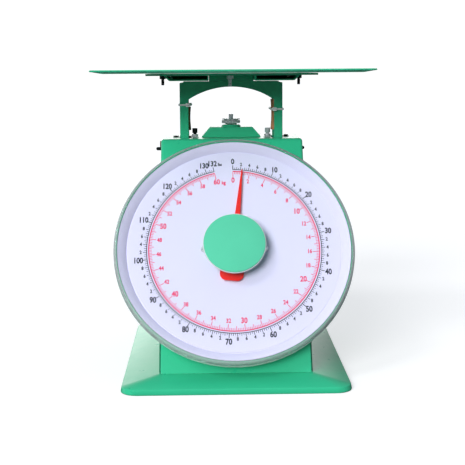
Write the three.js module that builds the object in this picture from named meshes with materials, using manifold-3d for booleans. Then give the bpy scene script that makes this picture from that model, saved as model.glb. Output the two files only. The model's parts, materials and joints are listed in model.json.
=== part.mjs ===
// A platform bench scale with a round dial: a spring balance in a sheet steel case, under a flat tray.
// Millimetres, +Z up, the front towards -Y, the origin on the standing surface below the middle of the base.
import * as THREE from "three";
import { mergeVertices } from "three/addons/utils/BufferGeometryUtils.js";
import Module from "manifold-3d";

const wasm = await Module();
wasm.setup();

// ---- driving dimensions ----
const gap = 0.3; // left between pieces that touch
const sheet = 1.5;

const base = { halfX: 122, halfY: 152, corner: 17, lip: 6.5, top: 15.6, hem: 14 };
const body = { halfX: 82, front: -125, back: 118, top: 255.5, foot: 15.9 };

const tilt = THREE.MathUtils.degToRad(30.5); // the panel and the dial lean back by this
const dial = { y: -75.4, z: 141, panelGap: 21 };
const face = { flat: 117.4, rim: 126.6, rise: 6, thick: 1 };
const drum = { radius: 128.4, front: 5.4, back: -14, wall: 1 };
const cover = { radius: 131.6, skirt: -3, shoulder: 9.6, crown: 17.2, wall: 1.8 };
const badge = { radius: 33.4, from: 18, to: 20.6 };
const pointer = {
  tip: 94,
  tail: 38,
  tailHalf: 12.9,
  neck: 20,
  from: 3.4,
  to: 4.3,
  rest: THREE.MathUtils.degToRad(6.2), // clockwise of the dial's zero
};

const shaft = { radius: 2, front: 6.2, back: -37 };
const gear = { module: 0.5, teeth: 12, from: -32, to: -28 };
const pitchRadius = (gear.module * gear.teeth) / 2;
const rackTop = 62; // its pin's place, measured up the panel from the shaft
const slotTravel = 9.1; // how far its pin runs along the slot when the platform goes down

const arch = { halfX: 60.3, leg: 10, y0: 36, y1: 80, top: 320, crown: 315, spring: 300, foot: 80, wall: 2.5, lipHalf: 55.8, lipTop: 321.3 };
const archY = (arch.y0 + arch.y1) / 2;
const link = {
  length: 58,
  backY: 104,
  lean: THREE.MathUtils.degToRad(5),
  x: 64.5,
  thick: 2.4,
  pin: 3,
  play: 1.1, // the front pins run loose, since the load frame moves straight and the link's end on an arc
};
const linkHeights = { upper: 238.5, lower: 96 };
const linkShaft = 2.1;

const tray = { halfX: 151, y0: -104, y1: 150, rim: 13, z: 331, top: 334.9, sheet: 1.2 };
const plate = { halfX: 96.5, y0: -20, y1: 120, z0: 328.2, z1: 330.4 };
const channel = { x0: 26.2, x1: 76.2, y0: -18, y1: 118, z0: 322.4 };
const trayBolt = { x: 80.2, y: 50, radius: 1.9, foot: 317 };

const zero = { y: archY, screw: 2.8, foot: 212, top: 282.4 };
const bracket = { topHalf: 25.3, footHalf: 34.8, y0: 46, y1: 70, z: 267.4, sheet: 2 };
const spring = { x: 25, radius: 8, wire: 1.1, turns: 10, z0: 95.5, z1: 218.1 };
const roofBolt = { x: 43, y: 46, radius: 1.9 };
const roofScrew = { x: 65.6, y: 60, radius: 1.6 };
const sideNut = { y: 70, z: 246.6 };
const coverScrew = { x: 70, z: 243, radius: 1.6 };
const packing = { x: 47.8, y0: 52, y1: 64, foot: 264 };

const paint = { color: 0x3dbb8b, roughness: 0.35, metalness: 0.1 };
const zinc = { color: 0xb9bec4, roughness: 0.35, metalness: 0.9 };
const black = { color: 0x24262a, roughness: 0.5, metalness: 0.4 };
const brass = { color: 0xb9985a, roughness: 0.35, metalness: 0.9 };
const white = { color: 0xf2f3fb, roughness: 0.5, metalness: 0 };
const red = { color: 0xe03a30, roughness: 0.4, metalness: 0 };
const clear = { color: 0xe8f2f4, roughness: 0.05, metalness: 0, transparent: true, opacity: 0.25 };
const cardboard = { color: 0xa9764a, roughness: 0.9, metalness: 0 };
const nylon = { color: 0xdfe3e6, roughness: 0.5, metalness: 0 };

// ---- shapes ----

// A closed three.js geometry as a solid, with its seams closed and its empty faces dropped.
function solid(geometry) {
  const loose = geometry.index ? geometry.toNonIndexed() : geometry.clone();
  loose.deleteAttribute("normal");
  loose.deleteAttribute("uv");
  const merged = mergeVertices(loose, 1e-4);
  const index = merged.index.array;
  const kept = [];
  for (let i = 0; i < index.length; i += 3) {
    const [a, b, c] = [index[i], index[i + 1], index[i + 2]];
    if (a !== b && b !== c && c !== a) kept.push(a, b, c);
  }
  const vertProperties = merged.attributes.position.array;
  const build = () =>
    new wasm.Manifold(new wasm.Mesh({ numProp: 3, vertProperties, triVerts: new Uint32Array(kept) }));
  const made = build();
  if (made.volume() > 0) return made;
  for (let i = 0; i < kept.length; i += 3) [kept[i], kept[i + 1]] = [kept[i + 1], kept[i]];
  return build();
}

function join(...solids) {
  return solids.reduce((whole, next) => whole.add(next));
}

function cut(whole, ...tools) {
  return tools.reduce((left, tool) => left.subtract(tool), whole);
}

function box([x0, x1], [y0, y1], [z0, z1]) {
  const geometry = new THREE.BoxGeometry(x1 - x0, y1 - y0, z1 - z0);
  return solid(geometry.translate((x0 + x1) / 2, (y0 + y1) / 2, (z0 + z1) / 2));
}

// A span from the smaller to the larger of two numbers.
function span(a, b) {
  return a < b ? [a, b] : [b, a];
}

// Round tools for the same hole on the left and on the right.
function mirroredBars(x, radius, y, [z0, z1]) {
  return [-x, x].map((at) => bar(radius, [at, y, z0], [at, y, z1], 12));
}

// A round bar between two points; with sides = 6 it is a hexagon across its corners.
function bar(radius, from, to, sides = 20) {
  const start = new THREE.Vector3(...from);
  const along = new THREE.Vector3(...to).sub(start);
  const geometry = new THREE.CylinderGeometry(radius, radius, along.length(), sides);
  geometry.translate(0, along.length() / 2, 0);
  const turn = new THREE.Quaternion().setFromUnitVectors(new THREE.Vector3(0, 1, 0), along.clone().normalize());
  return solid(geometry.applyQuaternion(turn).translate(start.x, start.y, start.z));
}

// A profile of [radius, height] points turned round the Z axis.
function turned(profile, sides = 44) {
  const points = profile.map(([r, z]) => new THREE.Vector2(r, z));
  return solid(new THREE.LatheGeometry(points, sides).rotateX(Math.PI / 2));
}

function outline(points) {
  return new THREE.Shape(points.map(([x, y]) => new THREE.Vector2(x, y)));
}

function extrude(shape, depth, curveSegments = 12) {
  return new THREE.ExtrudeGeometry(shape, { depth, bevelEnabled: false, curveSegments });
}

// A shape drawn in X and Z, given thickness along Y.
function acrossY(shape, y0, y1, curveSegments) {
  const geometry = extrude(shape, y1 - y0, curveSegments).rotateX(Math.PI / 2);
  return solid(geometry.translate(0, y1, 0));
}

// A shape drawn in Y and Z, given thickness along X.
function acrossX(shape, x0, x1) {
  const turn = new THREE.Matrix4().makeBasis(
    new THREE.Vector3(0, 1, 0),
    new THREE.Vector3(0, 0, 1),
    new THREE.Vector3(1, 0, 0),
  );
  return solid(extrude(shape, x1 - x0).applyMatrix4(turn).translate(x0, 0, 0));
}

// The points of a rectangle with round corners, at one height.
function roundedLoop(halfX, y0, y1, corner, z, steps = 4) {
  const centres = [
    [halfX - corner, y1 - corner],
    [-halfX + corner, y1 - corner],
    [-halfX + corner, y0 + corner],
    [halfX - corner, y0 + corner],
  ];
  return centres.flatMap(([x, y], side) =>
    Array.from({ length: steps + 1 }, (_, i) => {
      const angle = (side + i / steps) * (Math.PI / 2);
      return [x + corner * Math.cos(angle), y + corner * Math.sin(angle), z];
    }),
  );
}

// A skin over loops of equal length, from each to the next. It closes on itself, or has flat ends.
function lofted(loops, closesOnItself) {
  const count = loops[0].length;
  const corners = loops.flat();
  const faces = [];
  const last = closesOnItself ? loops.length : loops.length - 1;
  for (let i = 0; i < last; i++) {
    const here = i * count;
    const there = ((i + 1) % loops.length) * count;
    for (let k = 0; k < count; k++) {
      const next = (k + 1) % count;
      faces.push(here + k, here + next, there + next, here + k, there + next, there + k);
    }
  }
  if (!closesOnItself) {
    const top = (loops.length - 1) * count;
    for (let k = 1; k < count - 1; k++) faces.push(0, k + 1, k, top, top + k, top + k + 1);
  }
  const geometry = new THREE.BufferGeometry();
  geometry.setAttribute("position", new THREE.Float32BufferAttribute(corners.flat(), 3));
  geometry.setIndex(faces);
  return solid(geometry);
}

// ---- the scene graph ----
const scale = new THREE.Group();

// Everything that stands square to the dial hangs in this group: X right, Y up the dial, Z out of its face.
const dialGroup = new THREE.Group();
dialGroup.position.set(0, dial.y, dial.z);
dialGroup.rotation.x = Math.PI / 2 - tilt;
scale.add(dialGroup);

function add(name, finish, made, parent = scale) {
  const { vertProperties, numProp, triVerts } = made.getMesh();
  const geometry = new THREE.BufferGeometry();
  const positions = new Float32Array((vertProperties.length / numProp) * 3);
  for (let i = 0; i < positions.length / 3; i++) {
    positions.set(vertProperties.subarray(i * numProp, i * numProp + 3), i * 3);
  }
  geometry.setAttribute("position", new THREE.BufferAttribute(positions, 3));
  geometry.setIndex(new THREE.BufferAttribute(new Uint32Array(triVerts), 1));
  geometry.computeVertexNormals();
  const mesh = new THREE.Mesh(geometry, new THREE.MeshStandardMaterial(finish));
  mesh.name = name;
  parent.add(mesh);
  return mesh;
}

const sides = [
  ["left", -1],
  ["right", 1],
];

// The Y and Z of a point given by its height up the panel from the shaft and its distance out of the dial's face.
function onDial(up, out) {
  return [dial.y + up * Math.sin(tilt) - out * Math.cos(tilt), dial.z + up * Math.cos(tilt) + out * Math.sin(tilt)];
}

// The same two numbers back from a point's Y and Z.
function toDial(y, z) {
  const [dy, dz] = [y - dial.y, z - dial.z];
  return [dy * Math.sin(tilt) + dz * Math.cos(tilt), -dy * Math.cos(tilt) + dz * Math.sin(tilt)];
}

const panelSlope = Math.tan(tilt);

function panelY(z) {
  return body.front + (z - base.top) * panelSlope;
}

// ---- case ----

// The base: a low pressed frame with sloping sides, a hem turned in below and a ledge turned in above.
function baseSkirt() {
  const { halfX, halfY, corner, lip, top, hem } = base;
  const innerX = body.halfX;
  const outside = [
    roundedLoop(halfX - 1, -halfY + 1, halfY - 1, corner, 0),
    roundedLoop(halfX, -halfY, halfY, corner, 1.2),
    roundedLoop(halfX - 1, -halfY + 1, halfY - 1, corner, lip),
    roundedLoop(innerX, body.front, body.back + 2, 2.5, top),
  ];
  const ledge = roundedLoop(innerX - 12, body.front + 12, body.back - 10, 2.5, top);
  const inside = [
    roundedLoop(innerX - 12, body.front + 12, body.back - 10, 2.5, top - sheet),
    roundedLoop(innerX - 1, body.front + 1, body.back + 1, 2.5, top - sheet),
    roundedLoop(halfX - 3, -halfY + 3, halfY - 3, corner - 2, lip - sheet),
    roundedLoop(halfX - 2.6, -halfY + 2.6, halfY - 2.6, corner - 2, sheet),
    roundedLoop(halfX - hem, -halfY + hem, halfY - hem, corner - 8, sheet),
    roundedLoop(halfX - hem, -halfY + hem, halfY - hem, corner - 8, 0),
  ];
  return lofted([...outside, ledge, ...inside], true);
}

// The case: front panel, sides and roof folded from one sheet, open behind and below.
function bodyShell() {
  const { halfX, back, top, foot } = body;
  const outer = outline([
    [panelY(foot), foot],
    [back, foot],
    [back, top],
    [panelY(top), top],
  ]);
  const slant = sheet / Math.cos(tilt);
  const inner = outline([
    [panelY(0) + slant, 0],
    [back + 10, 0],
    [back + 10, top - sheet],
    [panelY(top - sheet) + slant, top - sheet],
  ]);
  const shell = acrossX(outer, -halfX, halfX).subtract(acrossX(inner, -halfX + sheet, halfX - sheet));
  const roof = [top - 4, top + 4];
  const slotY = [arch.y0 - 1.2, arch.y1 + 1.2];
  const legSlots = sides.map(([, s]) => box(span(s * (packing.x - 0.6), s * (arch.halfX + 1.2)), slotY, roof));
  const [shaftY0, shaftZ0] = onDial(0, -10);
  const [shaftY1, shaftZ1] = onDial(0, -30);
  const bushHole = bar(6.4, [0, shaftY0, shaftZ0], [0, shaftY1, shaftZ1]);
  const screwHole = bar(zero.screw + 3, [0, zero.y, roof[0]], [0, zero.y, roof[1]]);
  const boltHoles = mirroredBars(roofBolt.x, roofBolt.radius + 0.5, roofBolt.y, roof);
  const screwHoles = mirroredBars(roofScrew.x, roofScrew.radius + 0.3, roofScrew.y, roof);
  const linkHoles = Object.values(linkHeights).map((z) =>
    bar(linkShaft + 0.3, [-halfX - 5, link.backY, z], [halfX + 5, link.backY, z], 12),
  );
  return cut(shell, ...legSlots, bushHole, screwHole, ...boltHoles, ...screwHoles, ...linkHoles);
}

add("base_skirt", paint, baseSkirt());
add("body_shell", paint, bodyShell());

const coverY = body.back + gap;
const rearCover = outline([
  [-body.halfX + 1, body.foot],
  [body.halfX - 1, body.foot],
  [body.halfX - 1, body.top - 1],
  [-body.halfX + 1, body.top - 1],
]);
const coverScrewBar = (s, radius, y0, y1, edges) =>
  bar(radius, [s * coverScrew.x, y0, coverScrew.z], [s * coverScrew.x, y1, coverScrew.z], edges);
add(
  "rear_cover",
  paint,
  cut(
    acrossY(rearCover, coverY, coverY + sheet),
    ...sides.map(([, s]) => coverScrewBar(s, coverScrew.radius + 0.3, coverY - 2, coverY + 4, 12)),
  ),
);
for (const [side, s] of sides) {
  const head = coverScrewBar(s, 3.6, coverY + sheet + gap, coverY + sheet + 2.2, 16);
  const shank = coverScrewBar(s, coverScrew.radius, coverY - 1.5, coverY + sheet + 1, 12);
  add(`cover_screw_${side}`, zinc, join(head, shank));
}

// ---- dial ----
const bushRadius = 6;
const dialScrewX = 32.5;

function dialPan() {
  const { flat, rim, rise, thick } = face;
  const pan = turned([
    [shaft.radius + 1.5, 0],
    [flat, 0],
    [rim, rise],
    [rim, rise - 1.6],
    [flat + 0.6, -thick],
    [shaft.radius + 1.5, -thick],
    [shaft.radius + 1.5, 0],
  ]);
  return cut(pan, ...sides.map(([, s]) => bar(1.5, [s * dialScrewX, 0, -4], [s * dialScrewX, 0, 4], 12)));
}

function dialDrum() {
  const { radius, front, back, wall } = drum;
  return turned([
    [bushRadius + 0.5, back],
    [radius - 8, back],
    [radius - 2, back + 2],
    [radius, back + 6],
    [radius, front],
    [radius - wall, front],
    [radius - wall, back + 6.4],
    [radius - 2 - wall, back + 2.8],
    [radius - 8, back + wall],
    [bushRadius + 0.5, back + wall],
    [bushRadius + 0.5, back],
  ]);
}

function dialCover() {
  const { radius, skirt, shoulder, crown, wall } = cover;
  return turned([
    [0, crown],
    [45, crown - 0.8],
    [90, crown - 3.6],
    [radius - 6, shoulder],
    [radius - 2, shoulder - 1.4],
    [radius, shoulder - 4],
    [radius, skirt],
    [radius - wall, skirt],
    [radius - wall, shoulder - 4.4],
    [radius - 6.5, shoulder - wall],
    [90, crown - 3.6 - wall],
    [45, crown - 0.8 - wall],
    [0, crown - wall],
  ]);
}

add("dial_drum", paint, dialDrum(), dialGroup);
add("dial_pan", white, dialPan(), dialGroup);
add("dial_cover", clear, dialCover(), dialGroup);
add(
  "cover_badge",
  paint,
  turned(
    [
      [0, badge.from],
      [badge.radius - 0.6, badge.from],
      [badge.radius, badge.from + 0.7],
      [badge.radius - 0.4, badge.to - 0.9],
      [0, badge.to],
    ],
    40,
  ),
  dialGroup,
);

const mountBack = -dial.panelGap + gap;
const mountFront = drum.back - gap;
add(
  "dial_mount",
  black,
  turned(
    [
      [40, mountBack],
      [46, mountBack],
      [46, mountFront],
      [40, mountFront],
      [40, mountBack],
    ],
    32,
  ),
  dialGroup,
);
for (const [side, s] of sides) {
  const head = bar(4, [s * dialScrewX, 0, gap], [s * dialScrewX, 0, 2], 20);
  const shank = bar(1.2, [s * dialScrewX, 0, -8], [s * dialScrewX, 0, 1], 10);
  add(`dial_screw_${side}`, zinc, join(head, shank), dialGroup);
}

// ---- pointer, pinion and rack ----
function ringBar(outer, inner, z0, z1, segments = 24) {
  return bar(outer, [0, 0, z0], [0, 0, z1], segments).subtract(bar(inner, [0, 0, z0 - 1], [0, 0, z1 + 1], segments));
}

const running = 0.08; // radial play between the shaft and its bearings
add("shaft_bush", brass, ringBar(bushRadius, shaft.radius + running, -25, -12), dialGroup);

const pointerGroup = new THREE.Group();
pointerGroup.rotation.z = -pointer.rest;
dialGroup.add(pointerGroup);

function pointerBlade() {
  const { tip, tail, tailHalf, neck, from, to } = pointer;
  const blade = new THREE.Shape();
  blade.moveTo(-0.7, tip);
  blade.lineTo(-4.1, 12);
  blade.lineTo(-6, -neck);
  blade.lineTo(-tailHalf, -neck - 3);
  blade.lineTo(-tailHalf, -tail + 7);
  blade.quadraticCurveTo(-tailHalf, -tail, -tailHalf + 7, -tail);
  blade.lineTo(tailHalf - 7, -tail);
  blade.quadraticCurveTo(tailHalf, -tail, tailHalf, -tail + 7);
  blade.lineTo(tailHalf, -neck - 3);
  blade.lineTo(6, -neck);
  blade.lineTo(4.1, 12);
  blade.lineTo(0.7, tip);
  const flat = solid(extrude(blade, to - from, 4).translate(0, 0, from));
  return flat.subtract(bar(shaft.radius + 0.3, [0, 0, from - 1], [0, 0, to + 1]));
}

add("pointer", red, pointerBlade(), pointerGroup);
add("pointer_hub", brass, ringBar(5.5, shaft.radius + 0.3, pointer.to + gap, pointer.to + 2.4, 20), pointerGroup);
add("pointer_shaft", zinc, bar(shaft.radius, [0, 0, shaft.back], [0, 0, shaft.front], 24), pointerGroup);

// Straight-flanked teeth round a blank. The first tooth points along +X when the pointer is at rest.
function pinion() {
  const rim = new THREE.Shape();
  const root = pitchRadius - 0.55;
  const tip = pitchRadius + 0.4;
  for (let i = 0; i < gear.teeth; i++) {
    const middle = (i / gear.teeth) * 2 * Math.PI + pointer.rest;
    const flanks = [
      [root, -0.15],
      [tip, -0.05],
      [tip, 0.05],
      [root, 0.15],
    ];
    for (const [r, off] of flanks) {
      const place = [r * Math.cos(middle + off), r * Math.sin(middle + off)];
      if (i === 0 && r === root && off < 0) rim.moveTo(...place);
      else rim.lineTo(...place);
    }
  }
  const blank = solid(extrude(rim, gear.to - gear.from).translate(0, 0, gear.from));
  return blank.subtract(bar(shaft.radius + 0.08, [0, 0, gear.from - 1], [0, 0, gear.to + 1], 24));
}

const rackWidth = 5;
const rackPin = onDial(rackTop, (gear.from + gear.to) / 2); // the pin that drives the rack, its Y and Z

// A toothed bar beside the pinion, with a level slot in its head. At rest a gap between its teeth faces the shaft.
function rack() {
  const pitch = Math.PI * gear.module;
  const line = pitchRadius + 0.06;
  const edge = new THREE.Shape();
  edge.moveTo(line + 0.6, -4.5 * pitch);
  for (let i = -4; i <= 14; i++) {
    const middle = (i + 0.5) * pitch;
    edge.lineTo(line + 0.6, middle - 0.42);
    edge.lineTo(line - 0.35, middle - 0.16);
    edge.lineTo(line - 0.35, middle + 0.16);
    edge.lineTo(line + 0.6, middle + 0.42);
  }
  edge.lineTo(line + 0.6, rackTop + 4);
  edge.lineTo(line + rackWidth, rackTop + 4);
  edge.lineTo(line + rackWidth, -4.5 * pitch);
  const toothed = solid(extrude(edge, gear.to - gear.from - 0.6).translate(0, 0, gear.from + 0.3));
  const [y, z] = rackPin;
  const level = (y0, y1, half) =>
    outline([toDial(y0, z - half), toDial(y1, z - half), toDial(y1, z + half), toDial(y0, z + half)]);
  const head = acrossX(level(y - 4.5, y + slotTravel + 5, 5.5), line + 1, line + rackWidth);
  const slot = acrossX(level(y - 2.2, y + slotTravel + 2.6, 1.8), line - 5, line + rackWidth + 5);
  return toothed.add(head).subtract(slot);
}

add("pinion", brass, pinion(), pointerGroup);
add("rack", brass, rack(), dialGroup);

// A stirrup behind the panel carries the shaft's rear bearing and the roller that keeps the rack in mesh.
function shaftStirrup() {
  const plateBack = shaft.back - 1;
  const plateFront = -35;
  const foot = -dial.panelGap - sheet - gap;
  const back = box([-22, 22], [-9, 9], [plateBack, plateFront]);
  const legs = sides.map(([, s]) => box(s < 0 ? [-22, -20] : [20, 22], [-9, 9], [plateFront - 0.5, foot]));
  return cut(join(back, ...legs), bar(shaft.radius + running, [0, 0, plateBack - 1], [0, 0, plateFront + 1], 24));
}

const rollerX = pitchRadius + 5.4 + 2.6;
add("shaft_stirrup", zinc, shaftStirrup(), dialGroup);
add("rack_roller", brass, bar(2.4, [rollerX, 0, -34.6], [rollerX, 0, -27.5], 16), dialGroup);

// ---- load frame ----

// The yoke that carries the tray: two channel legs under a web whose lower edge is an arc.
function archYoke() {
  const { halfX, leg, y0, y1, top, crown, spring: springing, foot, wall, lipHalf, lipTop } = arch;
  const innerX = halfX - leg;
  const shape = new THREE.Shape();
  shape.moveTo(-halfX, foot);
  shape.lineTo(-innerX, foot);
  shape.lineTo(-innerX, springing);
  const half = innerX;
  const rise = crown - springing;
  const radius = (half * half + rise * rise) / (2 * rise);
  const spread = Math.asin(half / radius);
  shape.absarc(0, crown - radius, radius, Math.PI / 2 + spread, Math.PI / 2 - spread, true);
  shape.lineTo(innerX, foot);
  shape.lineTo(halfX, foot);
  shape.lineTo(halfX, top);
  shape.lineTo(lipHalf, top);
  shape.lineTo(lipHalf, lipTop);
  shape.lineTo(-lipHalf, lipTop);
  shape.lineTo(-lipHalf, top);
  shape.lineTo(-halfX, top);
  const pressed = acrossY(shape, y0, y1, 16);
  const hollow = box([-halfX + wall, halfX - wall], [y0 + wall, y1 - wall], [foot - 1, top - wall]);
  const pinY = link.backY - link.length * Math.cos(link.lean);
  const pinHoles = Object.values(linkHeights).map((z) => {
    const height = z + link.length * Math.sin(link.lean);
    return bar(link.pin + 0.3, [-halfX - 5, pinY, height], [halfX + 5, pinY, height], 16);
  });
  return cut(pressed, hollow, ...pinHoles);
}

add("arch_yoke", paint, archYoke());

// A bar between the legs, with an arm that reaches forward to the rack and a pin that rides in the rack's slot.
function rackArm() {
  const [y, z] = rackPin;
  const y0 = arch.y0 + arch.wall + gap;
  const inner = arch.halfX - arch.wall - gap;
  const x0 = pitchRadius + rackWidth + 0.6;
  const beam = box([-inner, inner], [y0, y0 + 4], [z - 6, z + 6]);
  const arm = box([x0, x0 + 2.6], [y - 4.5, y0 + 1], [z - 5, z + 5]);
  return join(beam, arm, bar(1.5, [pitchRadius - 0.5, y, z], [x0 + 1, y, z], 14));
}

add("rack_arm", zinc, rackArm());

const crossbarTop = 94;
const legInner = arch.halfX - arch.wall - gap;
add(
  "load_crossbar",
  zinc,
  cut(
    box([-legInner, legInner], [arch.y0 + arch.wall + gap, arch.y1 - arch.wall - gap], [arch.foot + 2, crossbarTop]),
    box([-legInner - 1, legInner + 1], [arch.y0 + 6, arch.y1 - 6], [arch.foot, crossbarTop - 3]),
  ),
);

// ---- check links: each pair of arms swings behind the legs and keeps the tray level ----
for (const [level, z] of Object.entries(linkHeights)) {
  const endY = link.backY - link.length * Math.cos(link.lean);
  const endZ = z + link.length * Math.sin(link.lean);
  const arms = sides.map(([, s]) => {
    const [x0, x1] = span(s * link.x, s * (link.x - link.thick));
    const frontEye = bar(6.4, [x0, endY, endZ], [x1, endY, endZ]);
    const backEye = bar(5.5, [x0, link.backY, z], [x1, link.backY, z]);
    const strap = outline([
      [link.backY, z - 4.5],
      [link.backY, z + 4.5],
      [endY, endZ + 4.5],
      [endY, endZ - 4.5],
    ]);
    return join(frontEye, backEye, acrossX(strap, x0, x1));
  });
  const tie = bar(3.5, [-link.x + 1, link.backY - 14, z + 1.2], [link.x - 1, link.backY - 14, z + 1.2], 12);
  const bores = [
    bar(link.pin + link.play, [-90, endY, endZ], [90, endY, endZ], 24),
    bar(linkShaft + 0.3, [-90, link.backY, z], [90, link.backY, z], 16),
  ];
  add(`check_link_${level}`, zinc, cut(join(...arms, tie), ...bores));
  add(`link_shaft_${level}`, black, bar(linkShaft, [-92, link.backY, z], [92, link.backY, z], 12));
  add(`link_pin_${level}`, zinc, bar(link.pin, [-link.x - 1.5, endY, endZ], [link.x + 1.5, endY, endZ], 16));
}

// ---- zero adjuster and springs ----

// A raised box pressed from sheet, open below, with sloping sides.
const hat = outline([
  [-bracket.footHalf, body.top + gap],
  [bracket.footHalf, body.top + gap],
  [bracket.topHalf, bracket.z],
  [-bracket.topHalf, bracket.z],
]);
const hatHollow = outline([
  [-bracket.footHalf + 3, body.top - 3],
  [bracket.footHalf - 3, body.top - 3],
  [bracket.footHalf - 3, body.top + gap],
  [bracket.topHalf - 1.4, bracket.z - bracket.sheet],
  [-bracket.topHalf + 1.4, bracket.z - bracket.sheet],
  [-bracket.footHalf + 3, body.top + gap],
]);
const screwClear = (z0, z1) => bar(zero.screw + 0.4, [0, zero.y, z0], [0, zero.y, z1], 16);
add(
  "zero_bracket",
  paint,
  cut(
    acrossY(hat, bracket.y0, bracket.y1),
    acrossY(hatHollow, bracket.y0 + bracket.sheet, bracket.y1 - bracket.sheet),
    screwClear(250, 280),
  ),
);

const bossTop = bracket.z + 2.7;
add(
  "zero_boss",
  paint,
  cut(bar(11.8, [0, zero.y, bracket.z + gap], [0, zero.y, bossTop], 28), screwClear(260, 280)),
);
add(
  "zero_washer",
  zinc,
  cut(bar(7, [0, zero.y, bossTop + gap], [0, zero.y, bossTop + 1.3], 24), screwClear(260, 290)),
);

// The thumb nut: a ribbed disc under a plain one.
function zeroNut() {
  const foot = bossTop + 1.6;
  const ribs = 24;
  const rim = new THREE.Shape();
  for (let i = 0; i < ribs; i++) {
    for (const [part, radius] of [
      [0.25, 11],
      [0.75, 10.4],
    ]) {
      const angle = ((i + part) / ribs) * 2 * Math.PI;
      const place = [radius * Math.cos(angle), radius * Math.sin(angle)];
      if (i === 0 && part < 0.5) rim.moveTo(...place);
      else rim.lineTo(...place);
    }
  }
  const disc = solid(extrude(rim, 3.6).translate(0, zero.y, foot));
  const collar = bar(9.4, [0, zero.y, foot + 3], [0, zero.y, foot + 5.6], 24);
  return cut(join(disc, collar), bar(zero.screw + 0.1, [0, zero.y, foot - 1], [0, zero.y, foot + 8], 16));
}

add("zero_nut", zinc, zeroNut());
add("zero_screw", zinc, bar(zero.screw, [0, zero.y, zero.foot], [0, zero.y, zero.top], 16));

const yokeZ = [221, 229];
add(
  "spring_yoke",
  zinc,
  cut(box([-34, 34], [zero.y - 6, zero.y + 6], yokeZ), bar(zero.screw + gap, [0, zero.y, 210], [0, zero.y, 240], 16)),
);

// A coil of round wire along Z.
class Coil extends THREE.Curve {
  constructor({ x, y, z0, z1, radius, turns }) {
    super();
    Object.assign(this, { x, y, z0, z1, radius, turns });
  }

  getPoint(t, target = new THREE.Vector3()) {
    const angle = t * this.turns * 2 * Math.PI;
    return target.set(
      this.x + this.radius * Math.cos(angle),
      this.y + this.radius * Math.sin(angle),
      THREE.MathUtils.lerp(this.z0, this.z1, t),
    );
  }
}

for (const [side, s] of sides) {
  const path = new Coil({
    x: s * spring.x,
    y: zero.y,
    z0: spring.z0 + spring.wire,
    z1: spring.z1,
    radius: spring.radius,
    turns: spring.turns,
  });
  const wire = new THREE.Shape();
  wire.absarc(0, 0, spring.wire, 0, 2 * Math.PI);
  const geometry = new THREE.ExtrudeGeometry(wire, {
    steps: spring.turns * 8,
    extrudePath: path,
    curveSegments: 3,
    bevelEnabled: false,
  });
  add(`spring_${side}`, zinc, solid(geometry));
}

// ---- fasteners on the roof and the sides ----
const roofTop = body.top + gap;
for (const [side, s] of sides) {
  const upright = ({ x, y }, radius, z0, z1, edges) => bar(radius, [s * x, y, z0], [s * x, y, z1], edges);
  const nutTop = roofTop + 3.8;
  const nutBore = upright(roofBolt, roofBolt.radius + 0.2, roofTop - 1, nutTop + 1, 12);
  add(`roof_nut_${side}`, zinc, upright(roofBolt, 3.9, roofTop, nutTop, 6).subtract(nutBore));
  const boltHead = upright(roofBolt, 3.4, nutTop + 1.2, nutTop + 7, 6);
  const boltShank = upright(roofBolt, roofBolt.radius, 249, nutTop + 2, 12);
  add(`roof_bolt_${side}`, side === "left" ? black : zinc, join(boltHead, boltShank));
  const screwHead = upright(roofScrew, 3.6, roofTop, roofTop + 2.2, 16);
  const screwShank = upright(roofScrew, roofScrew.radius, 250, roofTop + 1, 12);
  add(`roof_screw_${side}`, black, join(screwHead, screwShank));
  const sideX = s * (body.halfX + gap);
  add(`side_nut_${side}`, brass, bar(3.8, [sideX, sideNut.y, sideNut.z], [sideX + s * 3.2, sideNut.y, sideNut.z], 6));
}

// ---- tray and what holds it ----
const centreBolt = [-1.4, 22];
const centreBar = (radius, z0, z1, edges = 12) => bar(radius, [...centreBolt, z0], [...centreBolt, z1], edges);
add(
  "support_plate",
  paint,
  cut(
    box([-plate.halfX, plate.halfX], [plate.y0, plate.y1], [plate.z0, plate.z1]),
    centreBar(2.7, 320, 334),
    ...mirroredBars(trayBolt.x, trayBolt.radius + 0.4, trayBolt.y, [320, 334]),
  ),
);

// A low channel under the support plate, closed at its back end.
function supportChannel(s) {
  const { x0, x1, y0, y1, z0 } = channel;
  const top = plate.z0 - gap;
  const end = outline([
    [s * x0, z0],
    [s * (x1 - 6), z0],
    [s * x1, top],
    [s * x0, top],
  ]);
  const shape = outline([
    [s * x0, z0],
    [s * (x1 - 6), z0],
    [s * x1, top],
    [s * (x1 - 2.6), top],
    [s * (x1 - 7), z0 + sheet],
    [s * (x0 + sheet), z0 + sheet],
    [s * (x0 + sheet), top],
    [s * x0, top],
  ]);
  return join(acrossY(shape, y0, y1), acrossY(end, y1 - sheet, y1));
}

for (const [side, s] of sides) {
  add(`support_channel_${side}`, paint, supportChannel(s));
  const { x, y, radius, foot } = trayBolt;
  const nut = bar(3.7, [s * x, y, plate.z0 - 4], [s * x, y, plate.z0 - gap], 6);
  add(`tray_nut_${side}`, black, nut.subtract(bar(radius + 0.2, [s * x, y, 320], [s * x, y, 334], 12)));
  add(`tray_bolt_${side}`, black, bar(radius, [s * x, y, foot], [s * x, y, plate.z1 + 0.2], 12));
}

const centreX = channel.x0 - gap;
const centreY = [27, 116];
add(
  "centre_plate",
  paint,
  box([-centreX, centreX], centreY, [arch.lipTop + gap, plate.z0 - gap]),
);
const centreNutTop = plate.z0 - gap;
add("centre_nut", zinc, centreBar(4.4, centreNutTop - 3.6, centreNutTop, 6).subtract(centreBar(2.5, 310, 334)));
add("centre_bolt", zinc, centreBar(2.3, 316, plate.z1 + 0.2));

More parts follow.
